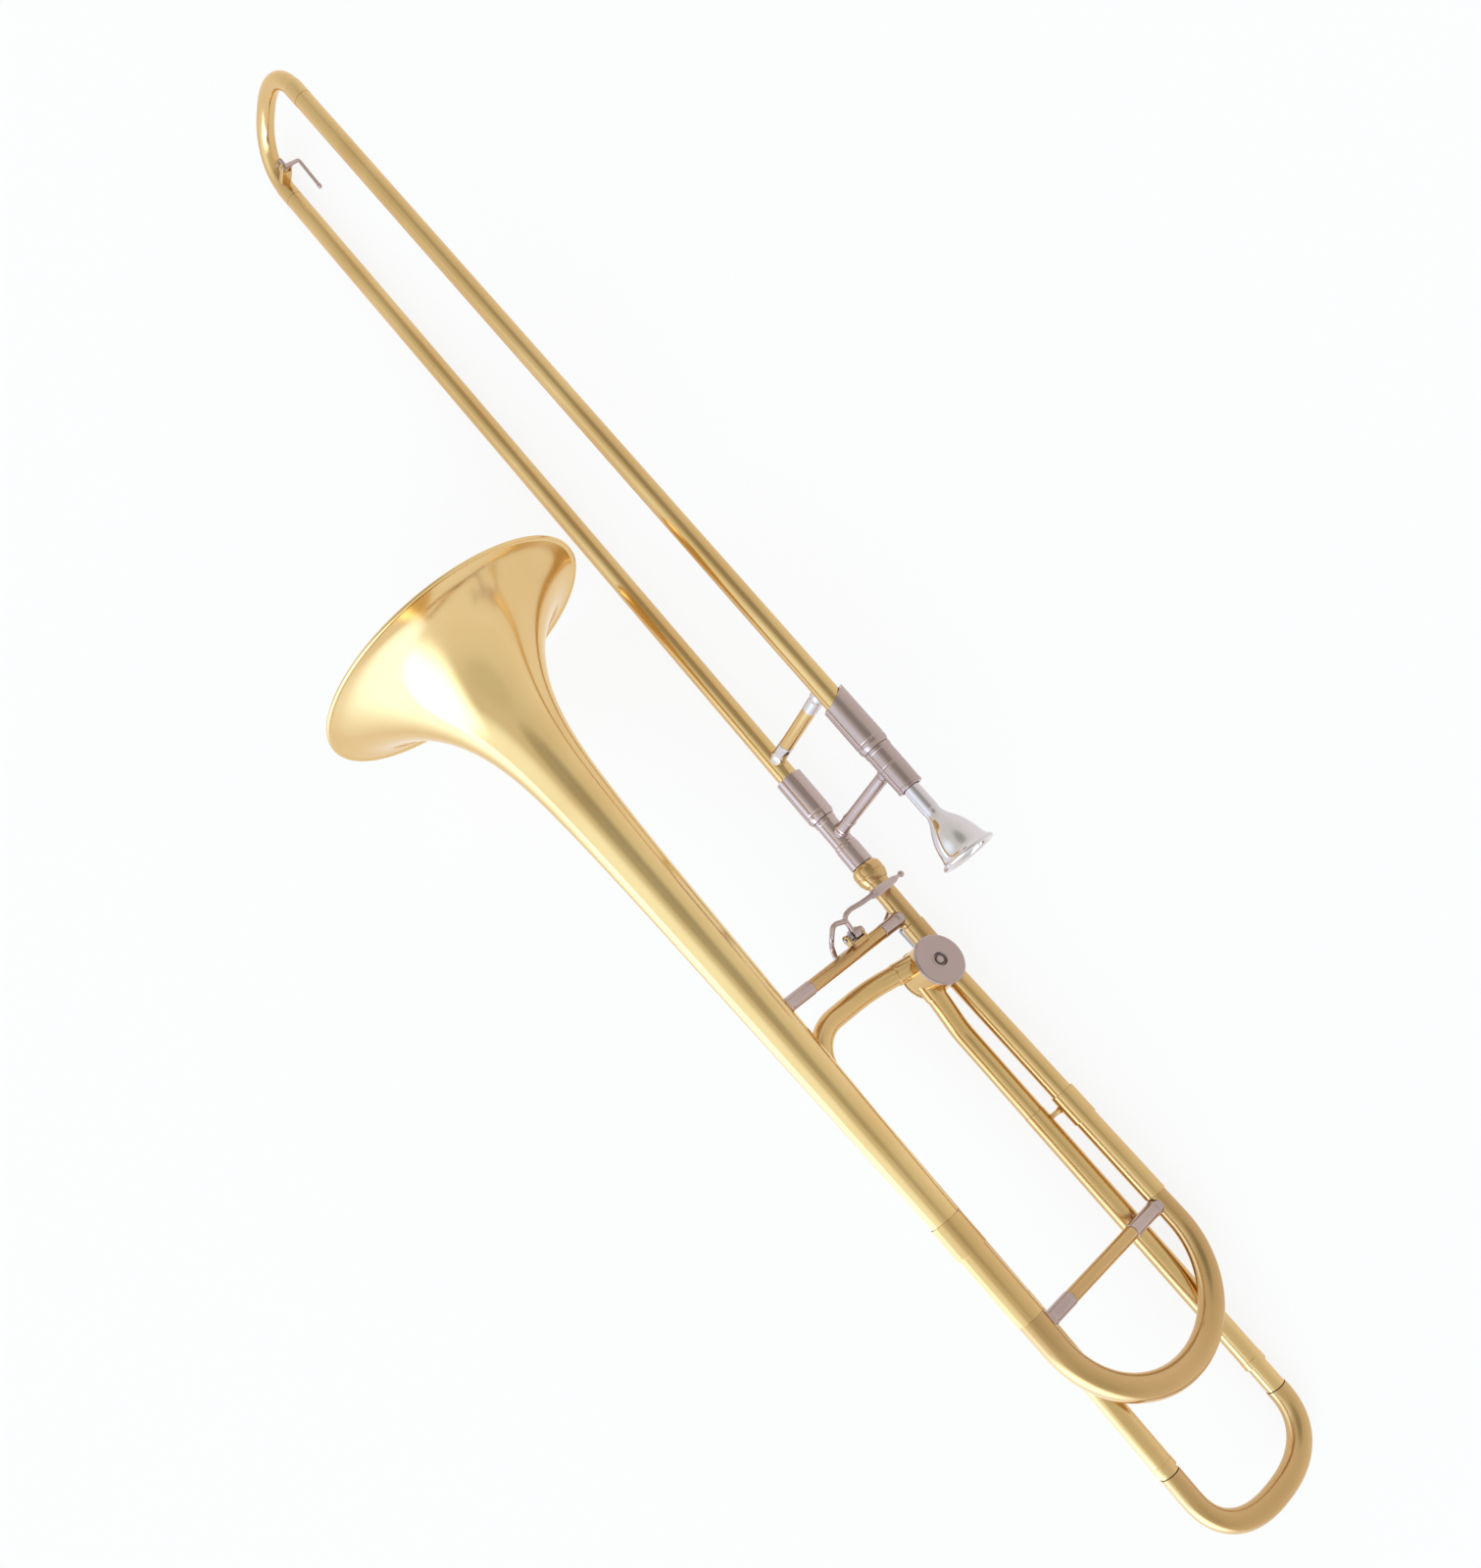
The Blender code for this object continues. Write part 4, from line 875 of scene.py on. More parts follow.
stay_path = even_steps(STAY_ENDS, 0.4)
stay = sweep("stay", stay_path, stay_radii(len(stay_path)), None, INSTRUMENT, up=(1, 0, 0), sides=32)
finish(stay, "f_stay")
print("stay", round((STAY_ENDS[1] - STAY_ENDS[0]).length, 1), "mm long")

# %% [markdown]
# The neck pipe carries on from the valve to the hand slide, with a collar under the lock nut. The nut is
# a turned brass ring in two zones, with a fine line round the wider one.

# %% Neck pipe and lock nut
NECK_PIPE_END_S = 124.0
NUT_RADIUS = 11.0
pipe_line = [
    (NECK_PIPE_END_S, 8.2), (NECK_PIPE_END_S - 9.0, 8.2), (NECK_PIPE_END_S - 9.6, 7.6), (86.0, 7.6),
    (85.6, 8.3), (70.0, 8.3), (66.0, 8.3), (66.0, 7.0), (NECK_PIPE_END_S, 7.0),
]
finish(cut(turn("pipe", pipe_line, SLIDE, soft=0.2), valve_wall()), "neck_pipe")
nut_line = [
    (137.5, 8.7), (136.6, 9.6), (134.9, 10.7), (132.6, NUT_RADIUS), (130.2, NUT_RADIUS), (129.9, 10.6),
    (129.5, 10.6), (129.2, NUT_RADIUS), (127.2, 10.9), (124.6, 9.9), (122.8, 9.2), (122.8, 8.6), (130.8, 8.6),
    (130.8, 7.4), (137.5, 7.4),
]
finish(turn("nut", nut_line, SLIDE, sides=72, soft=0.25), "lock_nut")
print("nut", 2 * NUT_RADIUS, "mm across")

# %% [markdown]
# The inner slide stays with the bell section: a tapered connector, two cork barrels, the mouthpiece
# receiver and the two inner tubes, with a thicker stocking at their far ends. The upper barrel's mouth is
# cut on a slant, which leaves a dark oval gap round the outer tube.

# %% Inner slide
INNER_S = (180.3, 858.0)
INNER_RADIUS, INNER_BORE = 6.6, 6.1
STOCKING_RADIUS = 6.72
STOCKING_S = INNER_S[1] - 110.0
OUTER_S = (211.0, 863.0)
OUTER_RADIUS, OUTER_BORE = 7.65, 7.15
BARREL_S = (180.0, 218.0)
BARREL_BORE = 8.5
SCOOP_LENGTH = 11.0
connector_line = [
    (179.7, 8.2), (176.6, 8.2), (176.2, 7.8), (157.6, 7.8), (156.8, 8.3), (154.6, 8.3), (154.0, 8.6),
    (138.2, 8.7), (138.1, 6.8), (125.0, 6.7), (125.0, 6.0), (179.7, 6.2),
]
finish(turn("connector", connector_line, SLIDE, soft=0.2), "slide_connector")


def barrel(place, radius, end):
    """A cork barrel, open at one end, with a fine groove near the other, which closes on the inner tube."""
    start = BARREL_S[0]
    line = [
        (end, radius), (start + 6.6, radius), (start + 6.2, radius - 0.35), (start + 5.6, radius - 0.35),
        (start + 5.2, radius), (start + 3.0, radius), (start, radius - 1.2), (start, 6.9), (start + 2.0, 6.9),
        (start + 2.0, BARREL_BORE), (end, BARREL_BORE),
    ]
    return turn("barrel", line, place, sides=72, soft=0.2)


upper_barrel = barrel(UPPER_SLIDE, 10.5, BARREL_S[1] + SCOOP_LENGTH)
slant = turned((BARREL_S[1], 10.5, SLIDE_SPACING), (0, 0, math.degrees(math.atan2(SCOOP_LENGTH, 21.0))))
scoop = block("scoop", (0, -40, -20), (30, 40, 20), SLIDE @ slant, soft=0)
finish(cut(upper_barrel, scoop), "cork_barrel_upper")
finish(barrel(SLIDE, 10.1, BARREL_S[1]), "cork_barrel_lower")
receiver_line = [
    (179.7, 9.5), (177.2, 9.5), (176.8, 9.1), (166.0, 9.1), (165.6, 8.85), (164.9, 8.85), (164.5, 9.1),
    (149.0, 8.8), (148.6, 9.0), (146.6, 9.0), (146.2, 8.2), (146.2, 6.6), (179.7, 6.0),
]
finish(turn("receiver", receiver_line, UPPER_SLIDE, soft=0.2), "mouthpiece_receiver")
for side, place in (("upper", UPPER_SLIDE), ("lower", SLIDE)):
    line = [
        (INNER_S[1], STOCKING_RADIUS), (STOCKING_S, STOCKING_RADIUS), (STOCKING_S - 1.0, INNER_RADIUS),
        (INNER_S[0], INNER_RADIUS), (INNER_S[0], INNER_BORE), (INNER_S[1], INNER_BORE),
    ]
    finish(turn("inner", line, place, soft=0.15), "inner_tube_" + side)
    finish(tube("bumper", 182.4, 189.0, 8.2, 6.9, place, soft=0.4), "bumper_" + side)
    finish(tube("outer", *OUTER_S, OUTER_RADIUS, OUTER_BORE, place), "outer_tube_" + side)
finish(tube("leadpipe", 182.0, 340.0, 5.85, 5.3, UPPER_SLIDE), "leadpipe")
print("inner slide", round(INNER_S[1] - INNER_S[0], 1), "mm long")

# %% [markdown]
# Two braces tie the slide tubes together. The outer one moves with the slide and has bright silver ends on
# a brass rod. The inner one is nickel silver all through, with a small collar near its lower end.

# %% Slide braces
OUTER_BRACE_S = 233.0
INNER_BRACE_S = 165.0
OUTER_BRACE_GAP = OUTER_RADIUS + 0.3
brace(
    brace_names("outer_brace"), SLIDE @ Matrix.Translation((OUTER_BRACE_S, 0, 0)), "z",
    OUTER_BRACE_GAP, SLIDE_SPACING - OUTER_BRACE_GAP, (16.0, 16.0), (5.1, 5.4, 6.0),
    (rod("trim", 200, 260, 7.6, SLIDE), rod("trim", 200, 260, 7.6, UPPER_SLIDE)),
)
inner_brace_line = [
    (88.2, 0.0), (88.2, 5.6), (80.9, 5.4), (79.6, 4.9), (78.2, 4.5), (23.4, 4.4), (23.0, 4.9), (21.2, 4.9),
    (20.8, 4.4), (12.2, 4.5), (10.8, 4.9), (9.4, 5.6), (2.1, 5.6), (2.1, 0.0),
]
inner_brace_place = SLIDE @ Matrix.Translation((INNER_BRACE_S, 0, 0))
inner_brace = turn("brace", inner_brace_line, inner_brace_place, "z", closed=False, soft=0.4)
cut(inner_brace, rod("trim", 135, 195, 7.75, SLIDE), rod("trim", 135, 195, 9.05, UPPER_SLIDE))
finish(inner_brace, "inner_brace")
print("braces at", OUTER_BRACE_S, "and", INNER_BRACE_S)

# %% [markdown]
# The slide bow closes the hand slide. Its ends are a little thicker where the ferrules cover the joints,
# each with a small step that the photograph shows as a notch. Its curve is squarer than half an ellipse,
# because two tight bends with a flatter crown between them are what the photograph shows.

# %% Slide bow
SLIDE_BOW_RADIUS = 7.4
SLIDE_BOW_START_S = OUTER_S[1] + SEAM
SLIDE_BOW_PATH = bow_path(
    (SLIDE_BOW_START_S, 0, 0), bow_points(873.2, 914.2, SLIDE_SPACING, 160, BOW_SQUARENESS, up_z=True),
    (SLIDE_BOW_START_S, 0, SLIDE_SPACING), 1.6,
)
FERRULE_STEPS = 11
FERRULE_RISE = 0.35


def bow_radii(count):
    """The bow's radius, with a low band at each end."""
    radii = [SLIDE_BOW_RADIUS] * count
    for i in range(FERRULE_STEPS):
        radii[i] = radii[count - 1 - i] = SLIDE_BOW_RADIUS + FERRULE_RISE
    return radii


SLIDE_BOW_RADII = bow_radii(len(SLIDE_BOW_PATH))
slide_bow = sweep(
    "bow", SLIDE_BOW_PATH, SLIDE_BOW_RADII, SLIDE_BOW_RADIUS - WALL, SLIDE, up=(0, 1, 0), sides=64,
)
finish(slide_bow, "slide_bow")
print("slide bow points", len(SLIDE_BOW_PATH))

# %% [markdown]
# The thumb lever turns on a pin in a saddle on the bell brace. Its flat paddle lies across the neck pipe,
# a wire leads from it to the barrel on the pin, and a second wire arches out and under the brace to the
# link, which turns the valve's stop arm.

# %% Thumb lever
LEVER_U, LEVER_W = 44.6, 3.4
LEVER_LINE = INSTRUMENT @ Matrix.Translation((LEVER_U, 0, LEVER_W))
BARREL_V = (37.6, 47.0)
PADDLE_CENTRE = (56.0, 6.6, 20.0)
THICKNESS_SHARE, CROWN = 0.45, 0.45
ROD_STARTS, ROD_BLEND = -7.0, 5.0
WIRE_RADIUS, FOOT_WIRE_RADIUS = 1.75, 1.3
FOOT = Vector((48.8, -9.0, -12.5))
PADDLE = [
    (17.0, 0.1), (16.4, 1.6), (14.8, 2.3), (12.0, 2.9), (8.0, 3.2), (0.0, 2.9), (-6.0, 2.6), (-9.0, 2.2),
    (-11.4, 1.4), (-13.0, 1.3), (-14.2, 1.9), (-15.6, 2.35), (-17.0, 1.8), (-17.8, 0.1),
]


def paddle():
    """A thin plate, crowned on top, drawn out to a rod with a ball at its far end."""
    line = smooth_line(PADDLE, 4)
    widths = [max(p.y, 0.05) for p in line]
    shape = turn("paddle", [(p.x, w) for p, w in zip(line, widths)], Matrix.Identity(4), "y", 48, False, 0)
    for corner in shape.data.vertices:
        fade = min(max((ROD_STARTS - corner.co.y) / ROD_BLEND, 0.0), 1.0)
        corner.co.z *= THICKNESS_SHARE + (1.0 - THICKNESS_SHARE) * fade
        corner.co.z += CROWN * math.cos(min(abs(corner.co.y) / PADDLE[0][0], 1.0) * math.pi / 2)
    shape.data.transform(INSTRUMENT @ Matrix.Translation(PADDLE_CENTRE))
    return shape


lever = tube("barrel", BARREL_V[0], BARREL_V[1] - 3.4, 4.3, 1.6, LEVER_LINE, "y")
paddle_wire = even_steps(
    bent_path(
        [
            (56.2, 19.0, 20.0), (56.8, 31.0, 18.0), (58.2, 38.0, 15.0), (57.0, 45.0, 12.0), (51.0, 43.0, 8.5),
            (LEVER_U, 41.6, LEVER_W + 1.0),
        ],
        [14.0, 10.0, 5.0, 6.0],
    ),
    0.6,
)
foot_wire = even_steps(
    bent_path(
        [
            (54.5, 45.0, 11.0), (57.4, 54.0, 11.0), (50.8, 57.4, 3.0), (48.0, 53.6, -8.0),
            (39.8, 54.8, FOOT.z), (39.8, 5.0, FOOT.z), (44.5, -5.0, FOOT.z), (FOOT.x, -5.0, FOOT.z),
            (FOOT.x, FOOT.y - 2.6, FOOT.z),
        ],
        [4.0, 7.0, 5.0, 3.0, 6.0, 2.0, 1.4],
    ),
    0.6,
)
foot_radii = [
    FOOT_WIRE_RADIUS + 0.5 * min(max((point.y - 30.0) / 15.0, 0.0), 1.0) for point in foot_wire
]
join(
    lever, paddle(), sweep("wire", paddle_wire, WIRE_RADIUS, None, INSTRUMENT, sides=WIRE_SIDES),
    sweep("wire", foot_wire, foot_radii, None, INSTRUMENT, sides=WIRE_SIDES),
)
finish(lever, "thumb_lever")
print("lever wires", len(paddle_wire), len(foot_wire))

# %% [markdown]
# The saddle is a small brass bracket soldered to the brace, with an ear at each end for the pin. The
# spring is wound round the pin beside the barrel.

# %% Lever saddle, pin and spring
saddle = block("saddle", (36.4, BARREL_V[0] - 2.6, 2.4), (40.4, BARREL_V[1] + 2.6, 6.6), INSTRUMENT)
for v in (BARREL_V[0] - 1.6, BARREL_V[1] + 1.6):
    ear = block("ear", (36.4, v - 1.0, 0.6), (LEVER_U + 0.2, v + 1.0, 6.6), INSTRUMENT, soft=0.3)
    join(saddle, ear, rod("eye", v - 1.0, v + 1.0, 3.2, LEVER_LINE, "y"))
cut(saddle, rod("trim", 20, 100, 4.75, BELL_BRACE_LINE, "y"))
finish(saddle, "lever_saddle")
PIN_V = (BARREL_V[0] - 4.4, BARREL_V[1] + 3.6)
HEAD_V = BARREL_V[0] - 2.7
PIN_RADIUS, HEAD_RADIUS = 1.3, 2.8
lever_pin_line = [
    (PIN_V[1], 0.0), (PIN_V[1], PIN_RADIUS), (HEAD_V, PIN_RADIUS), (HEAD_V, HEAD_RADIUS),
    (PIN_V[0], HEAD_RADIUS - 0.2), (PIN_V[0], 0.0),
]
finish(turn("pin", lever_pin_line, LEVER_LINE, "y", closed=False, soft=0.2), "lever_pin")


def coil(centre, radius, low, high, turns, wire, place):
    """A spring about an axis parallel to y, its first end drawn out as a short leg."""
    steps = 28
    path = []
    for k in range(int(turns * steps) + 1):
        angle = 2 * math.pi * k / steps
        along = low + (high - low) * k / (turns * steps)
        across = centre[0] + radius * math.cos(angle)
        up = centre[1] + radius * math.sin(angle)
        path.append(Vector((across, along, up)))
    path.insert(0, Vector((path[0].x, low, path[0].z - 1.4 * radius)))
    return sweep("spring", path, wire, None, place, up=(0, 1, 0), sides=12)


lever_spring = coil((LEVER_U, LEVER_W), 2.5, BARREL_V[1] - 2.6, BARREL_V[1] - 0.3, 2.5, 0.4, INSTRUMENT)
finish(lever_spring, "lever_spring")
print("saddle spans", round(BARREL_V[1] - BARREL_V[0] + 5.2, 1), "mm")

# %% [markdown]
# Under the valve a flat link joins the lever's foot to the stop arm on the rotor's spindle. None of it
# shows from the front, but it is seen from below, so it is built with the same care.

# %% Rotor, stop arm and link
ARM_RADIUS = 6.0
ARM_ANGLE = math.radians(-45.0)
ARM_W = (-16.4, -14.1)
LINK_W = (-17.6, -16.7)
PIN = Vector((ARM_RADIUS * math.cos(ARM_ANGLE), ARM_RADIUS * math.sin(ARM_ANGLE), 0.0))
arm = tube("arm", *ARM_W, 4.6, 2.1, VALVE, "z")
bar_place = VALVE @ Matrix.Rotation(ARM_ANGLE, 4, "Z")
join(
    arm, block("bar", (3.2, -1.7, ARM_W[0] + 1.0), (ARM_RADIUS + 1.7, 1.7, ARM_W[1]), bar_place, soft=0.3),
    rod("pin", LINK_W[0] + 0.2, -15.0, 1.0, VALVE @ Matrix.Translation(PIN), "z", WIRE_SIDES, soft=0.2),
)
finish(arm, "stop_arm")
STOP = VALVE_PLACE + PIN
link = block(
    "link", (STOP.x - 2.8, -4.8, LINK_W[0]), (STOP.x + 2.8, STOP.y + 2.7, LINK_W[1]), INSTRUMENT,
    soft=0.2,
)
LINK_FRONT_W = (-15.8, -14.7)
LINK_RUNS = [
    ((STOP.x + 1.0, -4.8, LINK_W[0]), (30.0, -2.8, LINK_W[1])),
    ((28.4, -4.8, LINK_W[0]), (30.0, -2.8, LINK_FRONT_W[1])),
    ((28.4, FOOT.y - 1.0, LINK_FRONT_W[0]), (30.4, -2.8, LINK_FRONT_W[1])),
    ((28.4, FOOT.y - 1.0, LINK_FRONT_W[0]), (FOOT.x + 3.2, FOOT.y + 1.0, LINK_FRONT_W[1])),
    ((FOOT.x - 3.2, FOOT.y - 1.0, LINK_FRONT_W[0]), (FOOT.x + 3.2, FOOT.y + 1.0, FOOT.z + 3.4)),
]
join(link, *[block("run", low, high, INSTRUMENT, soft=0.15) for low, high in LINK_RUNS])
SLOTS = [
    ((STOP.x - 1.7, STOP.y - 3.4, -20.0), (STOP.x + 1.7, STOP.y + 1.6, -10.0)),
    ((FOOT.x - 1.9, FOOT.y - 8.0, LINK_FRONT_W[1]), (FOOT.x + 1.9, FOOT.y + 8.0, FOOT.z + 2.4)),
]
cut(link, *[block("slot", low, high, INSTRUMENT, soft=0.0) for low, high in SLOTS])
finish(link, "link_rod")
rotor = frame["nodes"]["rotor"]
rotor.data.materials.clear()
rotor.data.materials.append(BRASS)
print("stop arm pin at", [round(x, 2) for x in STOP])

# %% [markdown]
# The water key sits inside the slide bow: a saddle, a lever on a pin with a spring, and a cork that
# closes the drain hole. Its arm is a straight thick lever that bends to a thinner finger piece.

# %% Water key
KEY_S, KEY_Z = 879.5, 20.0
KEY_PLACE = SLIDE @ Matrix.Translation((KEY_S, 0, KEY_Z))
KEY_PIN_RADIUS = 0.9
saddle = block("saddle", (KEY_S - 2.2, -4.6, 2.0), (KEY_S + 2.2, 4.6, KEY_Z - 3.4), SLIDE, soft=0.5)
for y in (-4.0, 4.0):
    low, high = (KEY_S - 1.9, y - 0.6, KEY_Z - 5.0), (KEY_S + 1.9, y + 0.6, KEY_Z + 1.9)
    join(saddle, block("ear", low, high, SLIDE, soft=0.5))
bow_cut = sweep(
    "trim", SLIDE_BOW_PATH, [r - 0.05 for r in SLIDE_BOW_RADII], None, SLIDE, up=(0, 1, 0), sides=64,
)
finish(cut(saddle, bow_cut), "water_key_saddle")
finish(rod("pin", -5.6, 5.6, KEY_PIN_RADIUS, KEY_PLACE, "y", WIRE_SIDES, soft=0.25), "water_key_pin")
key_lever = tube("barrel", -0.4, 3.1, 2.2, 1.0, KEY_PLACE, "y", 40)
key_arm = even_steps(
    bent_path([(KEY_S - 0.6, 1.2, KEY_Z + 1.0), (863.5, 0, 38.0), (831.0, 0, 36.6)], [6.0]), 0.7,
)


def arm_radii(count):
    """Thick at the barrel, thinner over the first thirty points, and a small knob on the last four."""
    radii = []
    for i in range(count):
        knob = 0.35 if i > count - 5 else 0.0
        radii.append(1.9 - 0.45 * min(1.0, i / 30) + knob)
    return radii


key_nose = even_steps(
    bent_path([(KEY_S + 0.8, 1.2, KEY_Z + 0.8), (888.0, 0.6, KEY_Z + 0.4), (891.0, 0.0, 16.2)], [2.0]), 0.6,
)
join(
    key_lever, sweep("arm", key_arm, arm_radii(len(key_arm)), None, SLIDE, up=(0, 1, 0), sides=WIRE_SIDES),
    sweep("nose", key_nose, 1.7, None, SLIDE, up=(0, 1, 0), sides=WIRE_SIDES),
)
finish(key_lever, "water_key_lever")
cork_line = even_steps([(891.2, 0, 15.7), (893.2, 0, 10.2)], 0.5)
cork = sweep("cork", cork_line, 1.9, None, SLIDE, up=(0, 1, 0), sides=32)
finish(cork, "water_key_cork")
finish(coil((KEY_S, KEY_Z), 1.6, -2.9, -2.0, 1.5, 0.3, SLIDE), "water_key_spring")
print("water key arm", len(key_arm), "points")

# %% [markdown]
# The mouthpiece is turned from solid brass and silver plated: a broad rim, a cup, a narrow throat and a
# tapered shank that pushes into the receiver.

# %% Mouthpiece
MOUTHPIECE_RIM_S = 90.3
CUP_OUTSIDE = [
    (77.0, 4.9), (75.0, 5.4), (38.0, 5.8), (36.2, 5.5), (34.4, 5.5), (32.5, 6.0), (29.7, 7.2), (24.7, 10.2),
    (19.5, 12.7), (13.0, 14.7), (6.8, 16.0), (3.6, 17.6), (1.9, 19.1), (0.9, 19.1), (0.15, 18.3), (0.0, 17.2),
    (0.35, 15.0), (1.2, 13.7), (3.0, 12.9), (12.0, 11.4), (20.0, 8.0), (24.0, 4.6), (27.0, 3.4), (77.0, 4.3),
]


def cup_line():
    """The measured points from the shank's shoulder round the rim to the throat, as one smooth curve."""
    shoulder, throat = 2, len(CUP_OUTSIDE) - 1
    curve = smooth_line(CUP_OUTSIDE[shoulder:throat], 5)
    return CUP_OUTSIDE[:shoulder] + [tuple(p) for p in curve] + CUP_OUTSIDE[throat:]


mouthpiece_line = [(MOUTHPIECE_RIM_S + x, r) for x, r in cup_line()]
mouthpiece = turn("mouthpiece", mouthpiece_line, UPPER_SLIDE, sides=FINE_SIDES, soft=0)
finish(mouthpiece, "mouthpiece")
print("rim", round(2 * max(r for x, r in mouthpiece_line), 1), "mm across")

# %% [markdown]
# The camera stands where the photograph was taken from: above the instrument and a little to its bell
# side. Its frame's centre is shifted, because the photograph was cropped off centre. The image is 1511 by
# 1600.

# %% Camera
CAMERA_PLACE = (-0.30028, -0.10233, 1.03491)
CAMERA_TURN = (6.1018, 18.2482, -130.8564)
camera_data = bpy.data.cameras.new("photo_view")
camera_data.sensor_width = 36.0
camera_data.lens = 33.62
camera_data.shift_x = 0.11164
camera_data.shift_y = 0.02159
camera = bpy.data.objects.new("photo_view", camera_data)
camera.location = CAMERA_PLACE
camera.rotation_euler = [math.radians(a) for a in CAMERA_TURN]
bpy.context.scene.collection.objects.link(camera)
bpy.context.scene.camera = camera
print("camera", round(camera_data.lens, 2), "mm")

# %% [markdown]
# The floor is plain and pale. For the camera and in mirror reflections, which Light Path tells apart, most
# of its white is light of its own. The small rest is lit by the room and the board, and that part shows
# the soft shadow of the instrument.

# %% Floor
FLOOR_SIZE = 12.0
floor_data = bpy.data.meshes.new("floor")
half = FLOOR_SIZE / 2
corners = [(-half, -half, 0), (half, -half, 0), (half, half, 0), (-half, half, 0)]
floor_data.from_pydata(corners, [], [(0, 1, 2, 3)])
floor = bpy.data.objects.new("floor", floor_data)
bpy.context.scene.collection.objects.link(floor)


def seen_directly(tree):
    """1 for rays from the camera, for mirror reflections and through glass, and 0 for scattered light."""
    path = add_node(tree, "ShaderNodeLightPath")
    first = add_node(
        tree, "ShaderNodeMath", None, {0: path.outputs["Is Camera Ray"], 1: path.outputs["Is Glossy Ray"]},
        operation="MAXIMUM",
    )
    return add_node(
        tree, "ShaderNodeMath", None, {0: first.outputs[0], 1: path.outputs["Is Transmission Ray"]},
        operation="MAXIMUM",
    ).outputs[0]


FLOOR_GREY = 0.95
WHITE_SHARE = 0.85
floor_paint = bpy.data.materials.new("floor_paint")
floor_paint.use_nodes = True
tree = floor_paint.node_tree
shader = tree.nodes["Principled BSDF"]
shader.inputs["Base Color"].default_value = (FLOOR_GREY, FLOOR_GREY, FLOOR_GREY, 1)
shader.inputs["Roughness"].default_value = 1.0
shader.inputs["Specular IOR Level"].default_value = 0.0
white = add_node(tree, "ShaderNodeEmission", {"Color": (1, 1, 1, 1), "Strength": 1.0})
mix = add_node(tree, "ShaderNodeMixShader")
share = add_node(tree, "ShaderNodeMath", {1: WHITE_SHARE}, {0: seen_directly(tree)}, operation="MULTIPLY")
tree.links.new(share.outputs[0], mix.inputs["Fac"])
tree.links.new(shader.outputs[0], mix.inputs[1])
tree.links.new(white.outputs[0], mix.inputs[2])
tree.links.new(mix.outputs[0], tree.nodes["Material Output"].inputs["Surface"])
floor_data.materials.append(floor_paint)
print("floor", FLOOR_SIZE, "m")

# %% [markdown]
# Polished metal shows the room, so the room is drawn first. It is a plain studio: pale all round, a little
# deeper overhead, with one tall window on the bell's side. Each area is a soft round patch, found from
# the angle between the direction looked in and the patch's middle, which one node group works out.

# %% Soft patch of the room


def patch_group():
    """1 inside a round patch of the room, falling softly to 0 at its edge."""
    group = new_group(
        "room_patch",
        [
            ("Direction", "NodeSocketVector", None), ("Middle", "NodeSocketVector", (0, 0, 1)),
            ("Inner", "NodeSocketFloat", 0.95), ("Outer", "NodeSocketFloat", 0.8),
        ],
        [("Amount", "NodeSocketFloat")],
    )
    given = add_node(group, "NodeGroupInput").outputs
    near = add_node(
        group, "ShaderNodeVectorMath", None, {0: given["Direction"], 1: given["Middle"]},
        operation="DOT_PRODUCT",
    )
    soft = add_node(
        group, "ShaderNodeMapRange", None,
        {"Value": near.outputs["Value"], "From Min": given["Outer"], "From Max": given["Inner"]},
        interpolation_type="SMOOTHSTEP",
    )
    add_node(group, "NodeGroupOutput", None, {"Amount": soft.outputs["Result"]})
    return group


ROOM_PATCH = patch_group()
print("patch group", ROOM_PATCH.name)

# %% [markdown]
# The patches are laid over one another, the dim ones high up first and the two bright ones last. Angles
# are in degrees: round from +X towards +Y, and up from the floor. The window is several times as bright as
# the walls, so it shows as the pale flash on the bell's flare.

# %% Room
HORIZON = (0.94, 0.94, 0.92)
ZENITH = (0.78, 0.81, 0.76)
ROOM = [
    # round, up, inner and outer half width, colour
    (205.0, 48.0, 4.0, 26.0, (0.72, 0.74, 0.68)),
    (312.0, 66.0, 5.0, 32.0, (0.42, 0.43, 0.40)),
    (275.0, 77.0, 2.0, 14.0, (0.50, 0.51, 0.46)),
    (88.0, 34.0, 8.0, 44.0, (1.20, 1.38, 1.52)),
    (138.0, 8.0, 14.0, 42.0, (2.7, 3.4, 4.3)),
]


def aim(round_deg, up_deg):
    """The direction that lies so far round from +X and so far up from the floor."""
    return Euler((0, math.radians(-up_deg), math.radians(round_deg))).to_matrix() @ Vector((1, 0, 0))


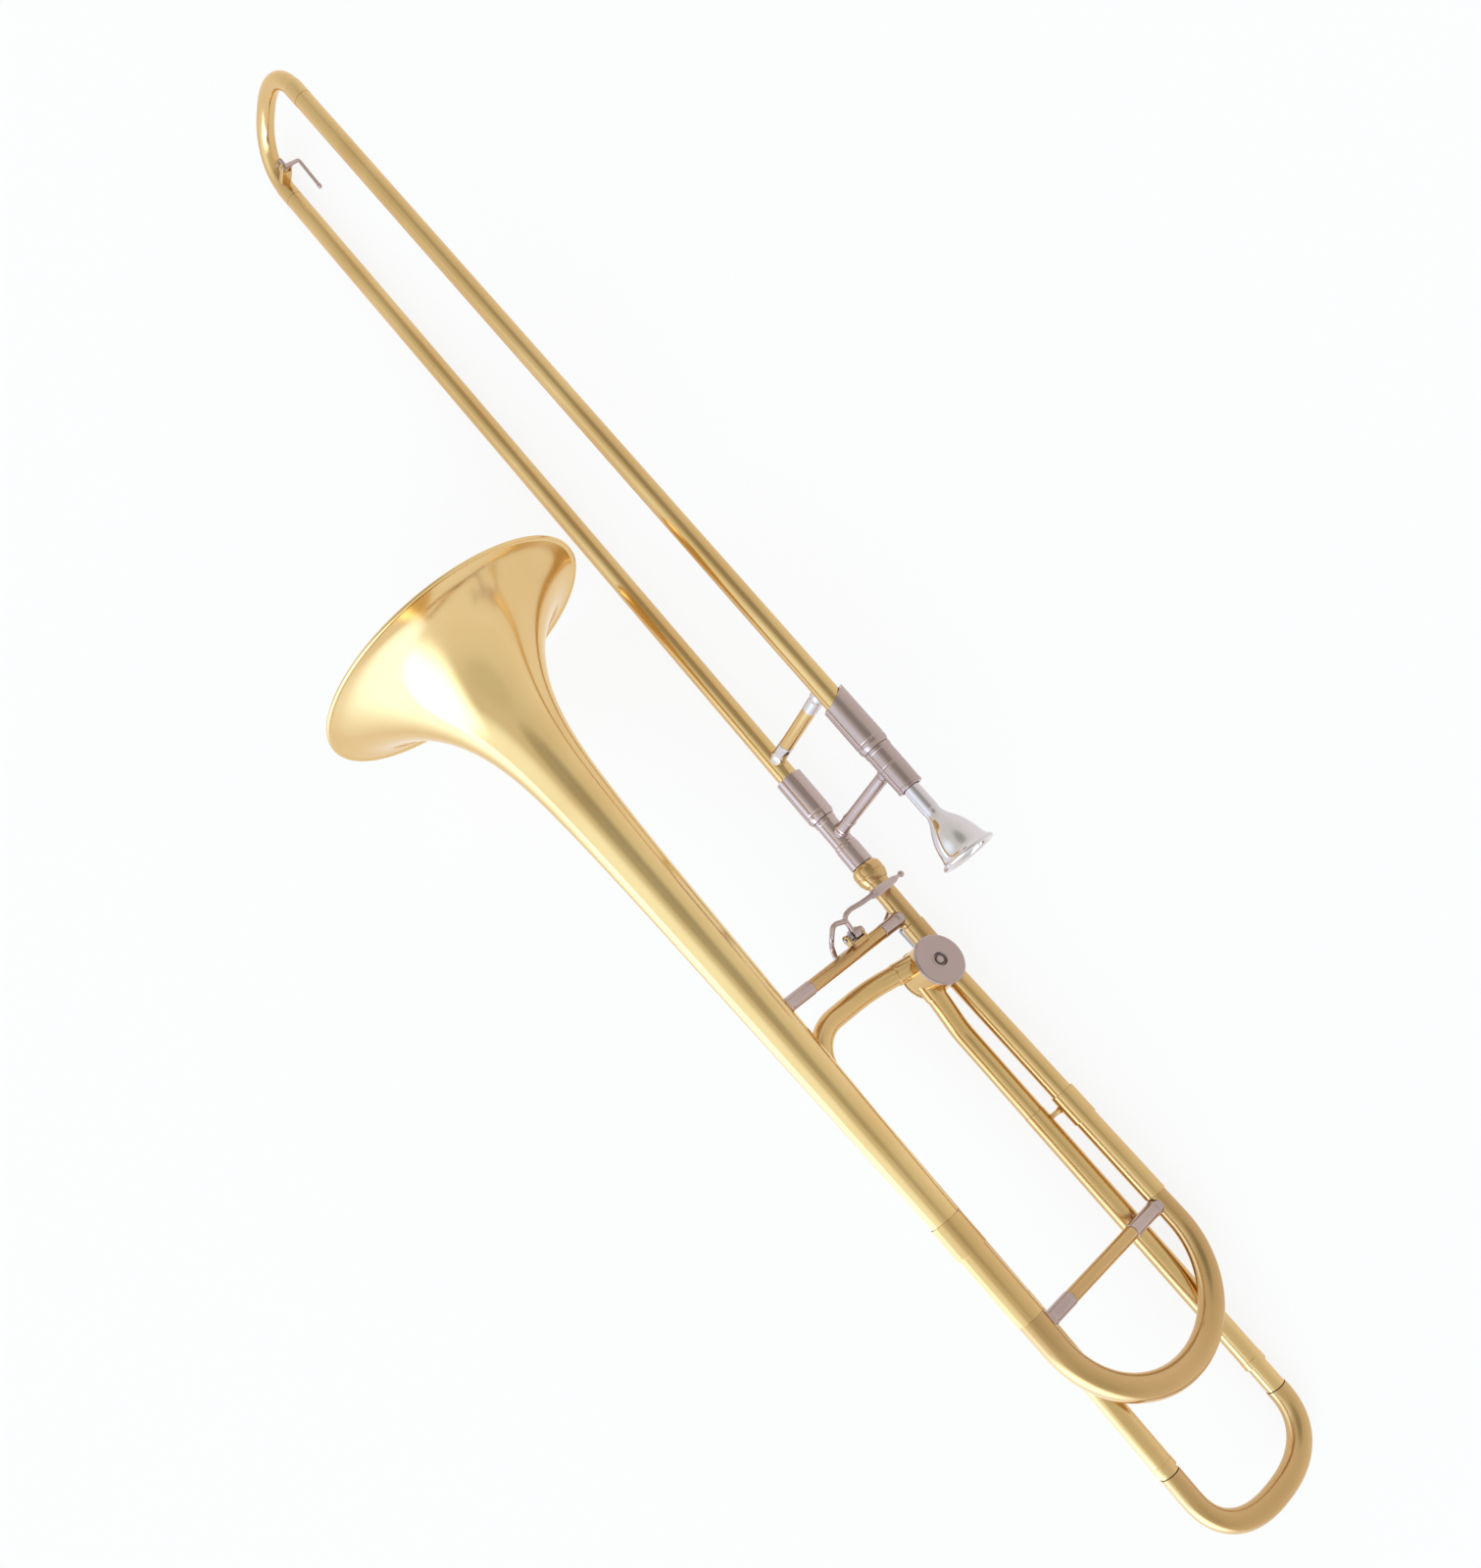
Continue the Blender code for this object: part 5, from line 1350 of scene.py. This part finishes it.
world = bpy.data.worlds.new("studio")
bpy.context.scene.world = world
world.use_nodes = True
tree = world.node_tree
looked = add_node(tree, "ShaderNodeTexCoord").outputs["Generated"]
height = add_node(tree, "ShaderNodeSeparateXYZ", None, {0: looked}).outputs["Z"]
rise = add_node(
    tree, "ShaderNodeMapRange", {"From Min": 0.0, "From Max": 0.8}, {"Value": height},
    interpolation_type="SMOOTHSTEP",
)
room = add_node(tree, "ShaderNodeMix", None, {"Factor": rise.outputs["Result"]}, data_type="RGBA")
room.inputs["A"].default_value = (*HORIZON, 1)
room.inputs["B"].default_value = (*ZENITH, 1)
for round_deg, up_deg, inner, outer, colour in ROOM:
    patch = add_node(tree, "ShaderNodeGroup", None, None, node_tree=ROOM_PATCH)
    patch.inputs["Middle"].default_value = aim(round_deg, up_deg)
    patch.inputs["Inner"].default_value = math.cos(math.radians(inner))
    patch.inputs["Outer"].default_value = math.cos(math.radians(outer))
    tree.links.new(looked, patch.inputs["Direction"])
    over = add_node(tree, "ShaderNodeMix", None, {"Factor": patch.outputs["Amount"]}, data_type="RGBA")
    tree.links.new(room.outputs["Result"], over.inputs["A"])
    over.inputs["B"].default_value = (*colour, 1)
    room = over
tree.links.new(room.outputs["Result"], tree.nodes["Background"].inputs["Color"])
bpy.context.scene.view_settings.view_transform = "Standard"
print("room patches", len(ROOM))

# %% [markdown]
# A reflector board lies low beside the bell, tipped a little towards the instrument, and carries the
# window's light on below the horizon. It is an area lamp, brightest in its middle, and the camera doesn't
# see it directly.

# %% Reflector board
BOARD_SIZE = (1.8, 1.05)
BOARD_PLACE = (-0.42, 0.51, 0.15)
BOARD_FACES = (0.10, -0.33, 0.94)
BOARD_COLOUR = (0.42, 0.72, 1.15)
BOARD_STRENGTH = 9.0
board_data = bpy.data.lights.new("reflector_board", "AREA")
board_data.shape = "RECTANGLE"
board_data.size, board_data.size_y = BOARD_SIZE
board_data.energy = 1.0
board_data.use_nodes = True
tree = board_data.node_tree
across = add_node(tree, "ShaderNodeNewGeometry").outputs["Parametric"]
centred = add_node(
    tree, "ShaderNodeVectorMath", {1: (1, 1, 0), 2: (-0.5, -0.5, 0)}, {0: across}, operation="MULTIPLY_ADD",
)
edge = add_node(tree, "ShaderNodeVectorMath", None, {0: centred.outputs["Vector"]}, operation="LENGTH")
glow = add_node(
    tree, "ShaderNodeMapRange", {"From Min": 0.5, "From Max": 0.3, "To Max": BOARD_STRENGTH},
    {"Value": edge.outputs["Value"]}, interpolation_type="SMOOTHSTEP",
)
emission = tree.nodes["Emission"]
emission.inputs["Color"].default_value = (*BOARD_COLOUR, 1)
tree.links.new(glow.outputs["Result"], emission.inputs["Strength"])
board = bpy.data.objects.new("reflector_board", board_data)
board.location = BOARD_PLACE
board.rotation_euler = Vector(BOARD_FACES).to_track_quat("-Z", "Y").to_euler()
board.visible_camera = False
bpy.context.scene.collection.objects.link(board)
print("board", BOARD_SIZE)
